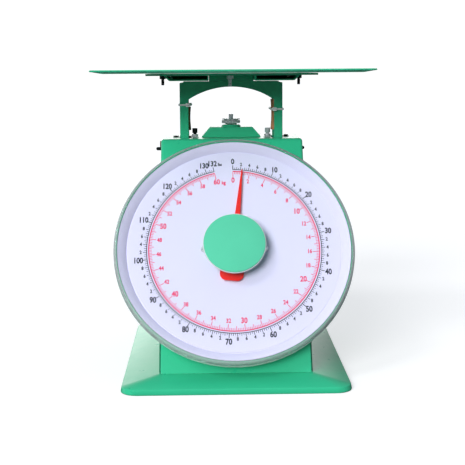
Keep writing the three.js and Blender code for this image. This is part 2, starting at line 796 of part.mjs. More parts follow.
// The tray: a flat floor with a rim that flares up all round.
function trayPan() {
  const { halfX, y0, y1, rim, z, top, sheet: thick } = tray;
  return lofted(
    [
      roundedLoop(halfX - rim, y0 + rim, y1 - rim, 3, z),
      roundedLoop(halfX, y0, y1, 7, top - thick),
      roundedLoop(halfX, y0, y1, 7, top),
      roundedLoop(halfX - rim, y0 + rim, y1 - rim, 3, z + thick),
    ],
    false,
  );
}

add("tray", paint, trayPan());

// ---- packing left on the legs ----
const stripTops = { left: 291.5, right: 300 };
const tieHeights = { left: 294.2, right: 288.6 };
for (const [side, s] of sides) {
  const stripX = span(s * packing.x, s * (arch.halfX - arch.wall - gap));
  add(`packing_strip_${side}`, cardboard, box(stripX, [packing.y0, packing.y1], [packing.foot, stripTops[side]]));
  const z = tieHeights[side];
  const loop = (grow, halfHeight) =>
    box(
      span(s * (packing.x - 0.4 - grow), s * (arch.halfX + gap + grow)),
      [arch.y0 - gap - grow, arch.y1 + gap + grow],
      [z - halfHeight, z + halfHeight],
    );
  const front = arch.y0 - gap - 1.1;
  const lock = box(span(s * 48.5, s * 53), [front - 3.4, front + 0.6], [z - 2.2, z + 2.2]);
  add(`cable_tie_${side}`, nylon, join(loop(1.1, 1.1).subtract(loop(0, 2)), lock));
}

export default scale;
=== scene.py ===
# Spring dial bench scale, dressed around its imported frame.
# Shapes are worked in millimetres and turned into metres when a piece is finished.
import json
import math

import bmesh
import bpy
from mathutils import Matrix, Vector


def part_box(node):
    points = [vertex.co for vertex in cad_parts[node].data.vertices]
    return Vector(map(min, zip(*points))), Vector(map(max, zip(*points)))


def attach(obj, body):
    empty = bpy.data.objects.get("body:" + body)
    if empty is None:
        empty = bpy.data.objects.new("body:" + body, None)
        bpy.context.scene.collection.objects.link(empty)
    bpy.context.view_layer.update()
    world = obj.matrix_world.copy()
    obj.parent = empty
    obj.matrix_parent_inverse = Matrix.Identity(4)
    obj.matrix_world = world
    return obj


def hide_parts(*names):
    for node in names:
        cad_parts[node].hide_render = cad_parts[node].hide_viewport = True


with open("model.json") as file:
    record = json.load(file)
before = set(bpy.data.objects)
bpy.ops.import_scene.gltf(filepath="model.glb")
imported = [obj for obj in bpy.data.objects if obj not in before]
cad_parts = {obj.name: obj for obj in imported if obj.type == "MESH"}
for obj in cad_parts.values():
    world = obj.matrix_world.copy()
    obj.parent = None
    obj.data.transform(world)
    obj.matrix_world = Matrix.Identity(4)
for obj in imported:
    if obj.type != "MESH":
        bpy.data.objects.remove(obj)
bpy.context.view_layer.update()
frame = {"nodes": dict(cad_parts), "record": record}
scene = bpy.context.scene
scene.view_settings.view_transform = "Standard"
print("frame loaded:", len(frame["nodes"]), "nodes")


# a node's box at rest, in millimetres
def boxOf(node):
    low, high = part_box(node)
    return low * 1000, high * 1000


# ---- node groups that the finishes share

def newGroup(name, inputs, outputs):
    group = bpy.data.node_groups.new(name, "ShaderNodeTree")
    for label, kind, value in inputs:
        socket = group.interface.new_socket(label, in_out="INPUT", socket_type=kind)
        socket.default_value = value
    for label, kind in outputs:
        group.interface.new_socket(label, in_out="OUTPUT", socket_type=kind)
    entry = group.nodes.new("NodeGroupInput")
    leave = group.nodes.new("NodeGroupOutput")
    return group, entry, leave


def addNode(tree, kind, links=(), **settings):
    node = tree.nodes.new(kind)
    for key, value in settings.items():
        if hasattr(node, key):
            setattr(node, key, value)
        else:
            node.inputs[key].default_value = value
    for source, target in links:
        tree.links.new(source, node.inputs[target])
    return node


def objectPlace(tree):
    return addNode(tree, "ShaderNodeTexCoord").outputs["Object"]


# two values worked into one
def combine(tree, operation, one, other):
    return addNode(tree, "ShaderNodeMath", [(one, 0), (other, 1)], operation=operation).outputs[0]


# a value between two ends, drawn out to lie between two others
def mapped(tree, value, start, end, low=0.0, high=1.0):
    node = addNode(tree, "ShaderNodeMapRange", [(value, "Value")])
    for label, amount in (("From Min", start), ("From Max", end), ("To Min", low), ("To Max", high)):
        node.inputs[label].default_value = amount
    return node


# slow changes of tone across a surface
def makeToneGroup():
    group, entry, leave = newGroup(
        "surfaceTone",
        [("Color", "NodeSocketColor", (0.5, 0.5, 0.5, 1)), ("Spread", "NodeSocketFloat", 0.05),
         ("Scale", "NodeSocketFloat", 14.0)],
        [("Color", "NodeSocketColor")],
    )
    noise = addNode(group, "ShaderNodeTexNoise",
                    [(objectPlace(group), "Vector"), (entry.outputs["Scale"], "Scale")],
                    Detail=3.0, Roughness=0.55)
    centred = addNode(group, "ShaderNodeMath", [(noise.outputs["Fac"], 0)], operation="SUBTRACT")
    centred.inputs[1].default_value = 0.5
    grown = combine(group, "MULTIPLY", centred.outputs[0], entry.outputs["Spread"])
    shifted = addNode(group, "ShaderNodeMath", [(grown, 0)], operation="MULTIPLY_ADD")
    shifted.inputs[1].default_value = 4.0
    shifted.inputs[2].default_value = 1.0
    toned = addNode(group, "ShaderNodeHueSaturation",
                    [(entry.outputs["Color"], "Color"), (shifted.outputs[0], "Value")])
    group.links.new(toned.outputs["Color"], leave.inputs["Color"])
    return group


# patches that are a little duller or shinier
def makeSheenGroup():
    group, entry, leave = newGroup(
        "sheenPatches",
        [("Roughness", "NodeSocketFloat", 0.4), ("Spread", "NodeSocketFloat", 0.1),
         ("Scale", "NodeSocketFloat", 60.0)],
        [("Roughness", "NodeSocketFloat")],
    )
    noise = addNode(group, "ShaderNodeTexNoise",
                    [(objectPlace(group), "Vector"), (entry.outputs["Scale"], "Scale")],
                    Detail=5.0, Roughness=0.6)
    centred = addNode(group, "ShaderNodeMath", [(noise.outputs["Fac"], 0)], operation="SUBTRACT")
    centred.inputs[1].default_value = 0.5
    mixed = addNode(group, "ShaderNodeMath",
                    [(centred.outputs[0], 0), (entry.outputs["Spread"], 1), (entry.outputs["Roughness"], 2)],
                    operation="MULTIPLY_ADD", use_clamp=True)
    group.links.new(mixed.outputs[0], leave.inputs["Roughness"])
    return group


# the small relief of a sprayed, plated or rolled surface, drawn out along one axis by Stretch
def makeGrainGroup():
    group, entry, leave = newGroup(
        "fineGrain",
        [("Scale", "NodeSocketFloat", 900.0), ("Stretch", "NodeSocketVector", (1, 1, 1))],
        [("Height", "NodeSocketFloat")],
    )
    drawn = addNode(group, "ShaderNodeVectorMath", [(objectPlace(group), 0), (entry.outputs["Stretch"], 1)],
                    operation="MULTIPLY")
    noise = addNode(group, "ShaderNodeTexNoise",
                    [(drawn.outputs[0], "Vector"), (entry.outputs["Scale"], "Scale")],
                    Detail=2.0, Roughness=0.5)
    group.links.new(noise.outputs["Fac"], leave.inputs["Height"])
    return group


# a broken line along the edges: worn paint, and a painted highlight where the rounded edges catch the light
def makeWearGroup():
    group, entry, leave = newGroup(
        "edgeWearAndHighlight",
        [("Amount", "NodeSocketFloat", 0.5), ("Radius", "NodeSocketFloat", 0.0008)],
        [("Mask", "NodeSocketFloat")],
    )
    rounded = addNode(group, "ShaderNodeBevel", [(entry.outputs["Radius"], "Radius")], samples=4)
    geometry = addNode(group, "ShaderNodeNewGeometry")
    agree = addNode(group, "ShaderNodeVectorMath", [(rounded.outputs[0], 0), (geometry.outputs["Normal"], 1)],
                    operation="DOT_PRODUCT")
    edge = mapped(group, agree.outputs["Value"], 0.995, 0.86)
    noise = addNode(group, "ShaderNodeTexNoise", [(objectPlace(group), "Vector")],
                    Scale=170.0, Detail=6.0, Roughness=0.7)
    broken = mapped(group, noise.outputs["Fac"], 0.46, 0.62)
    both = combine(group, "MULTIPLY", edge.outputs[0], broken.outputs[0])
    mask = addNode(group, "ShaderNodeMath", [(both, 0), (entry.outputs["Amount"], 1)],
                   operation="MULTIPLY", use_clamp=True)
    group.links.new(mask.outputs[0], leave.inputs["Mask"])
    return group


toneGroup = makeToneGroup()
sheenGroup = makeSheenGroup()
grainGroup = makeGrainGroup()
wearAndHighlightGroup = makeWearGroup()


def placeGroup(tree, group, links=(), **values):
    node = tree.nodes.new("ShaderNodeGroup")
    node.node_tree = group
    for label, value in values.items():
        node.inputs[label].default_value = value
    for source, target in links:
        tree.links.new(source, node.inputs[target])
    return node


# what a finish has when its own dictionary doesn't say
plainLook = {
    "wearAndHighlight": 0.1, "wearAndHighlightRadius": 0.0008, "roughSpread": 0.1, "roughScale": 200, "stretch": (1, 1, 1),
    "grainStrength": 0.05, "grainDepth": 0.0001, "metallic": 0.0, "coat": 0.0, "coatRoughness": 0.1,
    "specular": 0.5,
}


# a finish from its own dictionary: colour, tone, sheen, relief and edge wear, whose lighter edge colour is partly a
# painted highlight
def makeFinish(name, ownLook):
    look = {**plainLook, **ownLook}
    material = bpy.data.materials.new(name)
    material.use_nodes = True
    tree = material.node_tree
    shader = tree.nodes["Principled BSDF"]
    tone = placeGroup(tree, toneGroup, Color=(*look["colour"], 1), Spread=look["toneSpread"],
                      Scale=look["toneScale"])
    # a lighter colour along the edges: partly wear, partly a painted highlight where the edges catch the light
    wearAndHighlight = placeGroup(tree, wearAndHighlightGroup, Amount=look["wearAndHighlight"], Radius=look["wearAndHighlightRadius"])
    mix = addNode(tree, "ShaderNodeMix", [(wearAndHighlight.outputs["Mask"], "Factor")], data_type="RGBA")
    tree.links.new(tone.outputs["Color"], mix.inputs[6])
    mix.inputs[7].default_value = (*look["wornAndHighlightColour"], 1)
    tree.links.new(mix.outputs[2], shader.inputs["Base Color"])
    sheen = placeGroup(tree, sheenGroup, Roughness=look["roughness"], Spread=look["roughSpread"],
                       Scale=look["roughScale"])
    tree.links.new(sheen.outputs["Roughness"], shader.inputs["Roughness"])
    grain = placeGroup(tree, grainGroup, Scale=look["grainScale"], Stretch=look["stretch"])
    bump = addNode(tree, "ShaderNodeBump", [(grain.outputs["Height"], "Height")],
                   Strength=look["grainStrength"], Distance=look["grainDepth"])
    tree.links.new(bump.outputs["Normal"], shader.inputs["Normal"])
    shader.inputs["Metallic"].default_value = look["metallic"]
    shader.inputs["Coat Weight"].default_value = look["coat"]
    shader.inputs["Coat Roughness"].default_value = look["coatRoughness"]
    shader.inputs["Specular IOR Level"].default_value = look["specular"]
    return material


# the lighter green on its edges is partly wear and partly a painted highlight of the bent edges catching the light
greenEnamel = makeFinish("greenEnamel", {
    "colour": (0.034, 0.52, 0.275), "toneSpread": 0.035, "toneScale": 16, "wearAndHighlight": 0.35,
    "wornAndHighlightColour": (0.26, 0.72, 0.52), "roughness": 0.3, "roughSpread": 0.16, "roughScale": 70,
    "grainScale": 850, "grainStrength": 0.1, "grainDepth": 0.0002, "coat": 0.35, "coatRoughness": 0.14,
})
badgeEnamel = makeFinish("badgeEnamel", {
    "colour": (0.10, 0.60, 0.38), "toneSpread": 0.03, "toneScale": 30, "wearAndHighlight": 0.15,
    "wornAndHighlightColour": (0.3, 0.75, 0.55), "roughness": 0.38, "roughScale": 90, "grainScale": 1500,
    "grainStrength": 0.08, "coat": 0.2, "coatRoughness": 0.2,
})
dialWhite = makeFinish("dialWhite", {
    "colour": (0.80, 0.765, 0.985), "toneSpread": 0.006, "toneScale": 18, "wornAndHighlightColour": (0.9, 0.92, 1.0),
    "roughness": 0.42, "roughScale": 60, "grainScale": 1400, "specular": 0.35,
})
pointerRed = makeFinish("pointerRed", {
    "colour": (0.93, 0.03, 0.025), "toneSpread": 0.03, "toneScale": 60, "wearAndHighlight": 0.2,
    "wornAndHighlightColour": (1.0, 0.32, 0.24), "roughness": 0.4, "roughScale": 120, "grainScale": 1600,
    "grainStrength": 0.08, "specular": 0.15,
})
brightZinc = makeFinish("brightZinc", {
    "colour": (0.76, 0.79, 0.84), "toneSpread": 0.1, "toneScale": 120, "wearAndHighlight": 0.5, "wearAndHighlightRadius": 0.0004,
    "wornAndHighlightColour": (0.86, 0.88, 0.9), "roughness": 0.28, "roughSpread": 0.25, "roughScale": 260,
    "grainScale": 900, "stretch": (1, 1, 0.12), "grainStrength": 0.22, "metallic": 0.5,
})
blackenedSteel = makeFinish("blackenedSteel", {
    "colour": (0.018, 0.021, 0.024), "toneSpread": 0.2, "toneScale": 160, "wearAndHighlight": 0.7, "wearAndHighlightRadius": 0.0004,
    "wornAndHighlightColour": (0.2, 0.21, 0.22), "roughness": 0.42, "roughSpread": 0.25, "roughScale": 300,
    "grainScale": 1500, "grainStrength": 0.2, "metallic": 0.7,
})
machinedBrass = makeFinish("machinedBrass", {
    "colour": (0.62, 0.45, 0.2), "toneSpread": 0.12, "toneScale": 200, "wearAndHighlight": 0.4, "wearAndHighlightRadius": 0.0004,
    "wornAndHighlightColour": (0.9, 0.76, 0.46), "roughness": 0.3, "roughSpread": 0.2, "roughScale": 300,
    "grainScale": 900, "stretch": (1, 1, 0.15), "grainStrength": 0.2, "metallic": 1.0,
})
tieNylon = makeFinish("tieNylon", {
    "colour": (0.86, 0.88, 0.9), "toneSpread": 0.04, "toneScale": 150, "wornAndHighlightColour": (0.9, 0.9, 0.9),
    "roughness": 0.42, "roughSpread": 0.15, "grainScale": 1200, "grainStrength": 0.1,
})
rimPlastic = makeFinish("rimPlastic", {
    "colour": (0.82, 0.85, 0.86), "toneSpread": 0.02, "toneScale": 90, "wornAndHighlightColour": (0.95, 0.95, 0.95),
    "roughness": 0.25, "grainScale": 1200,
})
printBlack = makeFinish("printBlack", {
    "colour": (0.012, 0.012, 0.03), "toneSpread": 0.1, "toneScale": 220, "wearAndHighlight": 0.0,
    "wornAndHighlightColour": (0.3, 0.3, 0.36), "roughness": 0.5, "grainScale": 1600, "specular": 0.3,
})
printPink = makeFinish("printPink", {
    "colour": (0.88, 0.06, 0.17), "toneSpread": 0.06, "toneScale": 220, "wearAndHighlight": 0.0,
    "wornAndHighlightColour": (0.95, 0.5, 0.6), "roughness": 0.5, "grainScale": 1600, "specular": 0.3,
})
packingBoard = makeFinish("packingBoard", {  # long upright fibres
    "colour": (0.66, 0.31, 0.16), "toneSpread": 0.12, "toneScale": 130, "wearAndHighlight": 0.5,
    "wornAndHighlightColour": (0.68, 0.42, 0.25), "roughness": 0.85, "grainScale": 700, "stretch": (1, 1, 0.12),
    "grainStrength": 0.5, "grainDepth": 0.0003, "specular": 0.2,
})

# the dial leans back, and its centre is on the shaft's line at the dial's face
tilt = math.radians(30.5)
dialCentre = (0, -75.4, 141)


# clear moulded cover, hazy past a radius in metres; light for the dial passes it without being lost
def makeClearCover():
    look = {"colour": (0.975, 0.985, 0.99), "roughness": 0.03, "roughSpread": 0.03, "roughScale": 40,
            "ior": 1.4, "specular": 0.3, "shadowColour": (0.96, 0.98, 0.98), "haze": 0.28,
            "hazeColour": (0.66, 0.74, 0.74), "hazeFrom": 0.1266, "hazeTo": 0.1290}
    material = bpy.data.materials.new("clearCover")
    material.use_nodes = True
    tree = material.node_tree
    shader = tree.nodes["Principled BSDF"]
    shader.inputs["Base Color"].default_value = (*look["colour"], 1)
    shader.inputs["Transmission Weight"].default_value = 1.0
    shader.inputs["IOR"].default_value = look["ior"]
    shader.inputs["Specular IOR Level"].default_value = look["specular"]
    sheen = placeGroup(tree, sheenGroup, Roughness=look["roughness"], Spread=look["roughSpread"],
                       Scale=look["roughScale"])
    tree.links.new(sheen.outputs["Roughness"], shader.inputs["Roughness"])
    path = addNode(tree, "ShaderNodeLightPath")
    passing = combine(tree, "MAXIMUM", path.outputs["Is Shadow Ray"], path.outputs["Is Diffuse Ray"])
    through = addNode(tree, "ShaderNodeBsdfTransparent")
    through.inputs["Color"].default_value = (*look["shadowColour"], 1)
    mixed = addNode(tree, "ShaderNodeMixShader",
                    [(passing, 0), (shader.outputs[0], 1), (through.outputs[0], 2)])
    upright = addNode(tree, "ShaderNodeMapping", [(objectPlace(tree), 0)], vector_type="TEXTURE")
    upright.inputs["Location"].default_value = [value / 1000 for value in dialCentre]
    upright.inputs["Rotation"].default_value = (math.pi / 2 - tilt, 0, 0)
    split = addNode(tree, "ShaderNodeSeparateXYZ", [(upright.outputs[0], 0)])
    flat = addNode(tree, "ShaderNodeCombineXYZ", [(split.outputs["X"], "X"), (split.outputs["Y"], "Y")])
    reach = addNode(tree, "ShaderNodeVectorMath", [(flat.outputs[0], 0)], operation="LENGTH")
    edge = mapped(tree, reach.outputs["Value"], look["hazeFrom"], look["hazeTo"], 0, look["haze"])
    hazy = addNode(tree, "ShaderNodeBsdfDiffuse")
    hazy.inputs["Color"].default_value = (*look["hazeColour"], 1)
    whole = addNode(tree, "ShaderNodeMixShader",
                    [(edge.outputs[0], 0), (mixed.outputs[0], 1), (hazy.outputs[0], 2)])
    tree.links.new(whole.outputs[0], tree.nodes["Material Output"].inputs["Surface"])
    return material


clearCover = makeClearCover()
finishOf = {  # the finish of each material slot
    "paint": greenEnamel, "zinc": brightZinc, "dark_steel": blackenedSteel, "brass": machinedBrass,
    "dial_white": dialWhite, "pointer_red": pointerRed, "clear": clearCover, "cardboard": packingBoard,
    "nylon": tieNylon,
}
slotOf = {row["node"]: row["material_slot"] for row in frame["record"]["subparts"]}
bodyOf = {node: body for body, nodes in frame["record"]["behaviour"]["bodies"].items() for node in nodes}
for node, piece in frame["nodes"].items():
    piece.data.materials.clear()
    piece.data.materials.append(finishOf[slotOf[node]])
print("finishes made:", len(bpy.data.materials))


# ---- helpers for shapes, in millimetres

creaseAngle = 32  # edges at a sharper turn than this, in degrees, stay sharp


def vertsOf(geom):
    return [item for item in geom if isinstance(item, bmesh.types.BMVert)]


# the shape becomes a mesh piece that rides on a body
def finishPiece(bm, name, body, material, replaced=(), place=None):
    if place:
        bmesh.ops.transform(bm, matrix=place, verts=bm.verts)
    bmesh.ops.remove_doubles(bm, verts=bm.verts, dist=0.0005)
    bmesh.ops.recalc_face_normals(bm, faces=bm.faces)
    bmesh.ops.scale(bm, vec=(0.001, 0.001, 0.001), verts=bm.verts)
    mesh = bpy.data.meshes.new(name)
    bm.to_mesh(mesh)
    bm.free()
    mesh.materials.append(material)
    mesh.shade_smooth()
    mesh.set_sharp_from_angle(angle=math.radians(creaseAngle))
    piece = bpy.data.objects.new(name, mesh)
    scene.collection.objects.link(piece)
    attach(piece, body)
    if replaced:
        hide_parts(*replaced)
    return piece


# rounds every edge that is sharper than the angle
def softenEdges(bm, width, segments=2, angle=creaseAngle, only=None):
    limit = math.radians(angle)
    sharp = [e for e in bm.edges
             if len(e.link_faces) == 2 and e.calc_face_angle(0) > limit and (not only or only(e))]
    bmesh.ops.bevel(bm, geom=sharp, offset=width, offset_type="OFFSET", segments=segments, profile=0.5,
                    affect="EDGES", material=-1, clamp_overlap=True)


# a block between two corners
def addBlock(bm, low, high):
    made = bmesh.ops.create_cube(bm, size=1)["verts"]
    size = Vector(high) - Vector(low)
    bmesh.ops.scale(bm, vec=size, verts=made)
    bmesh.ops.translate(bm, vec=(Vector(high) + Vector(low)) / 2, verts=made)
    return made


# a round or hexagonal bar between two points
def addRod(bm, radius, start, end, segments=32):
    start, end = Vector(start), Vector(end)
    along = end - start
    turn = along.to_track_quat("Z", "Y").to_matrix().to_4x4()
    return bmesh.ops.create_cone(
        bm, cap_ends=True, segments=segments, radius1=radius, radius2=radius, depth=along.length,
        matrix=Matrix.Translation((start + end) / 2) @ turn)["verts"]


# a profile of (radius, height) points turned once round the Z axis
def addTurned(bm, profile, steps=96, closed=True):
    verts = [bm.verts.new((radius, 0, height)) for radius, height in profile]
    pairs = list(zip(verts, verts[1:])) + ([(verts[-1], verts[0])] if closed else [])
    edges = [bm.edges.new(pair) for pair in pairs]
    bmesh.ops.spin(bm, geom=verts + edges, cent=(0, 0, 0), axis=(0, 0, 1), angle=2 * math.pi, steps=steps,
                   use_merge=True)
    bmesh.ops.remove_doubles(bm, verts=bm.verts, dist=0.0005)


# a closed loop of edges: a rectangle with round corners, at one height
def addRing(bm, halfX, y0, y1, corner, z, steps=8):
    verts = bmesh.ops.create_grid(bm, x_segments=1, y_segments=1, size=0.5)["verts"]
    bmesh.ops.scale(bm, vec=(2 * halfX, y1 - y0, 1), verts=verts)
    bmesh.ops.translate(bm, vec=(0, (y0 + y1) / 2, z), verts=verts)
    face = verts[0].link_faces[0]
    known = set(bm.verts) - set(verts)
    bmesh.ops.bevel(bm, geom=verts, offset=corner, offset_type="OFFSET", segments=steps, profile=0.5,
                    affect="VERTICES", material=-1)
    ring = [v for v in bm.verts if v not in known]
    edges = list({e for v in ring for e in v.link_edges})
    faces = list({f for v in ring for f in v.link_faces})
    bmesh.ops.delete(bm, geom=faces, context="FACES_ONLY")
    return edges


# a skin over the rings, from each to the next
def bridgeRings(bm, rings, closes):
    pairs = list(zip(rings, rings[1:])) + ([(rings[-1], rings[0])] if closes else [])
    for one, other in pairs:
        bmesh.ops.bridge_loops(bm, edges=one + other)


# a flat outline in X and Y, given thickness along Z
def addSlab(bm, points, z0, z1):
    face = bm.faces.new([bm.verts.new((x, y, z0)) for x, y in points])
    grown = bmesh.ops.extrude_face_region(bm, geom=[face])["geom"]
    bmesh.ops.translate(bm, vec=(0, 0, z1 - z0), verts=vertsOf(grown))


# stands a slab up: an outline in X and Z with its thickness along -Y, or one in Y and Z with it along X
acrossY = Matrix(((1, 0, 0, 0), (0, 0, -1, 0), (0, 1, 0, 0), (0, 0, 0, 1)))
acrossX = Matrix(((0, 0, 1, 0), (1, 0, 0, 0), (0, 1, 0, 0), (0, 0, 0, 1)))


# cuts one shape out of another and gives back the result
def cutShape(bm, cutters):
    def asObject(shape, name):
        bmesh.ops.recalc_face_normals(shape, faces=shape.faces)
        mesh = bpy.data.meshes.new(name)
        shape.to_mesh(mesh)
        shape.free()
        made = bpy.data.objects.new(name, mesh)
        scene.collection.objects.link(made)
        return made
    whole = asObject(bm, "cutBody")
    tools = [asObject(cutter, "cutTool") for cutter in cutters]
    for tool in tools:
        modifier = whole.modifiers.new("cut", "BOOLEAN")
        modifier.operation = "DIFFERENCE"
        modifier.solver = "EXACT"
        modifier.object = tool
    bpy.context.view_layer.update()
    graph = bpy.context.evaluated_depsgraph_get()
    result = bmesh.new()
    evaluated = whole.evaluated_get(graph)
    result.from_mesh(evaluated.to_mesh())
    evaluated.to_mesh_clear()
    for item in [whole, *tools]:
        mesh = item.data
        bpy.data.objects.remove(item)
        bpy.data.meshes.remove(mesh)
    return result


# a block shape of its own, for cutting
def blockShape(low, high):
    bm = bmesh.new()
    addBlock(bm, low, high)
    return bm


# a bar shape of its own, for cutting
def rodShape(radius, start, end, segments=48):
    bm = bmesh.new()
    addRod(bm, radius, start, end, segments)
    return bm


# a CAD node's own shape, merged, with its edges rounded
def refineNode(node, width, segments=2, angle=creaseAngle):
    bm = bmesh.new()
    bm.from_mesh(frame["nodes"][node].data)
    bmesh.ops.scale(bm, vec=(1000, 1000, 1000), verts=bm.verts)
    bmesh.ops.remove_doubles(bm, verts=bm.verts, dist=0.002)
    bmesh.ops.dissolve_limit(bm, angle_limit=math.radians(0.5), verts=bm.verts, edges=bm.edges)
    softenEdges(bm, width, segments, angle)
    name = node.title().replace("_", "")
    return finishPiece(bm, name[0].lower() + name[1:] + "Edged", bodyOf[node],
                       finishOf[slotOf[node]], [node])


# ---- the dial's own frame: X right, Y up the dial, Z out of its face
onDial = Matrix((
    (1, 0, 0, dialCentre[0]),
    (0, math.sin(tilt), -math.cos(tilt), dialCentre[1]),
    (0, math.cos(tilt), math.sin(tilt), dialCentre[2]),
    (0, 0, 0, 1),
))

# ---- case ----
baseForm = {"halfX": 122, "halfY": 152, "corner": 17, "lip": 6.5, "top": 15.6, "hem": 14, "sheet": 1.5,
            "neckX": 82, "neckFront": -125, "neckBack": 120, "neckCorner": 3, "ledge": 12, "edge": 0.7}


def makeBase():
    f = baseForm
    bm = bmesh.new()
    loops = [
        (f["halfX"] - 1.0, f["halfY"] - 1.0, f["corner"], 0.0),
        (f["halfX"] - 0.3, f["halfY"] - 0.3, f["corner"], 0.5),
        (f["halfX"], f["halfY"], f["corner"], 1.4),
        (f["halfX"] - 0.9, f["halfY"] - 0.9, f["corner"], f["lip"]),
    ]
    rings = [addRing(bm, x, -y, y, corner, z) for x, y, corner, z in loops]
    x, y0, y1 = f["neckX"], f["neckFront"], f["neckBack"]
    ledge, corner, under = f["ledge"], f["neckCorner"], f["top"] - f["sheet"]
    rings.append(addRing(bm, x + 0.2, y0 - 0.2, y1, corner, f["top"]))
    rings.append(addRing(bm, x - ledge, y0 + ledge, y1 - ledge, corner, f["top"]))
    rings.append(addRing(bm, x - ledge, y0 + ledge, y1 - ledge, corner, under))
    rings.append(addRing(bm, x - 1, y0 + 1, y1 - 1, corner, under))
    inner = [
        (f["halfX"] - 3.0, f["halfY"] - 3.0, f["corner"] - 2, f["lip"] - f["sheet"]),
        (f["halfX"] - 2.6, f["halfY"] - 2.6, f["corner"] - 2, f["sheet"]),
        (f["halfX"] - f["hem"], f["halfY"] - f["hem"], f["corner"] - 9, f["sheet"]),
        (f["halfX"] - f["hem"], f["halfY"] - f["hem"], f["corner"] - 9, 0.0),
    ]
    rings += [addRing(bm, x, -y, y, corner, z) for x, y, corner, z in inner]
    bridgeRings(bm, rings, True)
    bmesh.ops.remove_doubles(bm, verts=bm.verts, dist=0.0005)
    softenEdges(bm, f["edge"], 3, 20, lambda e: max(v.co.z for v in e.verts) > 4)
    finishPiece(bm, "baseSkirtPressed", "case", greenEnamel, ["base_skirt"])


makeBase()

bodyForm = {"halfX": 82, "front": -125, "back": 118, "top": 255.5, "foot": 15.9, "sheet": 1.5, "bend": 3.4}
# the slits low at the panel's sides, and the holes for what passes through the case
reliefForm = {"x": 80.9, "half": 0.55, "top": 47.5, "hole": 1.5, "depth": 6}
holeForm = {
    "slotX": (47.2, 61.5), "slotY": (34.8, 81.2), "bolt": (43, 46), "boltHole": 2.4, "screw": (65.6, 60),
    "screwHole": 1.9, "zeroY": 58, "zeroHole": 5.8, "shaftY": 104, "shaftHeights": (238.5, 96),
    "shaftHole": 2.4, "shaftReach": 90, "bush": (-8, -34), "bushHole": 6.4,
}


# where the leaning front panel is at a height
def panelY(z):
    return bodyForm["front"] + (z - baseForm["top"]) * math.tan(tilt)


# the slit beside the panel's foot, and the round hole at its top
def reliefCutters(s):
    r, foot = reliefForm, bodyForm["foot"] - 4
    low, high = panelY(foot), panelY(r["top"])
    slit = bmesh.new()
    outline = [(low - 3, foot), (low + r["depth"], foot), (high + r["depth"], r["top"]), (high - 3, r["top"])]
    addSlab(slit, outline, s * r["x"] - r["half"], s * r["x"] + r["half"])
    bmesh.ops.transform(slit, matrix=acrossX, verts=slit.verts)
    x, z = s * r["x"], r["top"]
    hole = rodShape(r["hole"], (x, high - 5, z + 3), (x, high + 6, z - 3.5), 24)
    return [slit, hole]


def makeCase():
    f, h = bodyForm, holeForm
    bm = bmesh.new()
    side = [(panelY(f["foot"]), f["foot"]), (f["back"], f["foot"]), (f["back"], f["top"]),
            (panelY(f["top"]), f["top"])]
    addSlab(bm, side, -f["halfX"], f["halfX"])
    bmesh.ops.transform(bm, matrix=acrossX, verts=bm.verts)
    bmesh.ops.recalc_face_normals(bm, faces=bm.faces)
    folds = [e for e in bm.edges
             if e.calc_length() > 30 and not all(abs(v.co.y - f["back"]) < 0.1 for v in e.verts)
             and not all(abs(v.co.z - f["foot"]) < 0.1 for v in e.verts)]
    bmesh.ops.bevel(bm, geom=folds, offset=f["bend"], offset_type="OFFSET", segments=6, profile=0.5,
                    affect="EDGES", material=-1, clamp_overlap=True)
    openings = [face for face in bm.faces if face.normal.y > 0.99 or face.normal.z < -0.99]
    bmesh.ops.delete(bm, geom=openings, context="FACES")
    bmesh.ops.solidify(bm, geom=bm.faces, thickness=f["sheet"])
    low, high = f["top"] - 8, f["top"] + 8

    def roofHole(x, y, radius):
        return rodShape(radius, (x, y, low), (x, y, high))

    cutters = []
    for s in (-1, 1):
        x0, x1 = sorted(s * x for x in h["slotX"])
        cutters.append(blockShape((x0, h["slotY"][0], low), (x1, h["slotY"][1], high)))
        cutters.append(roofHole(s * h["bolt"][0], h["bolt"][1], h["boltHole"]))
        cutters.append(roofHole(s * h["screw"][0], h["screw"][1], h["screwHole"]))
        cutters += reliefCutters(s)
    cutters.append(roofHole(0, h["zeroY"], h["zeroHole"]))
    for z in h["shaftHeights"]:
        reach = h["shaftReach"]
        cutters.append(rodShape(h["shaftHole"], (-reach, h["shaftY"], z), (reach, h["shaftY"], z)))
    bush = [onDial @ Vector((0, 0, z)) for z in h["bush"]]
    cutters.append(rodShape(h["bushHole"], bush[0], bush[1]))
    bm = cutShape(bm, cutters)
    finishPiece(bm, "caseShellFolded", "case", greenEnamel, ["body_shell"])


makeCase()
refineNode("rear_cover", 0.4)
for side in ("left", "right"):
    refineNode("cover_screw_" + side, 0.5, 3)
print("case made")

# ---- dial ----
panForm = {"flat": 117.4, "rim": 126.6, "rise": 6, "bore": 3.5, "groove": 0.75}


def makePan():
    f = panForm
    bm = bmesh.new()
    addTurned(bm, [
        (f["bore"], 0), (f["flat"] - 1.1, 0), (f["flat"] - 0.75, -f["groove"]), (f["flat"] - 0.1, -f["groove"]),
        (f["flat"] + 0.5, 0.3), (f["rim"] - 0.6, f["rise"] - 0.3), (f["rim"], f["rise"]),
        (f["rim"] + 0.3, f["rise"] - 0.5), (f["rim"], f["rise"] - 1.6), (f["flat"] + 0.6, -1), (f["bore"], -1),
    ], 180)
    finishPiece(bm, "dialPanSpun", "case", dialWhite, ["dial_pan"], place=onDial)


makePan()

drumForm = {"radius": 128.4, "front": 5.4, "back": -14, "wall": 1}


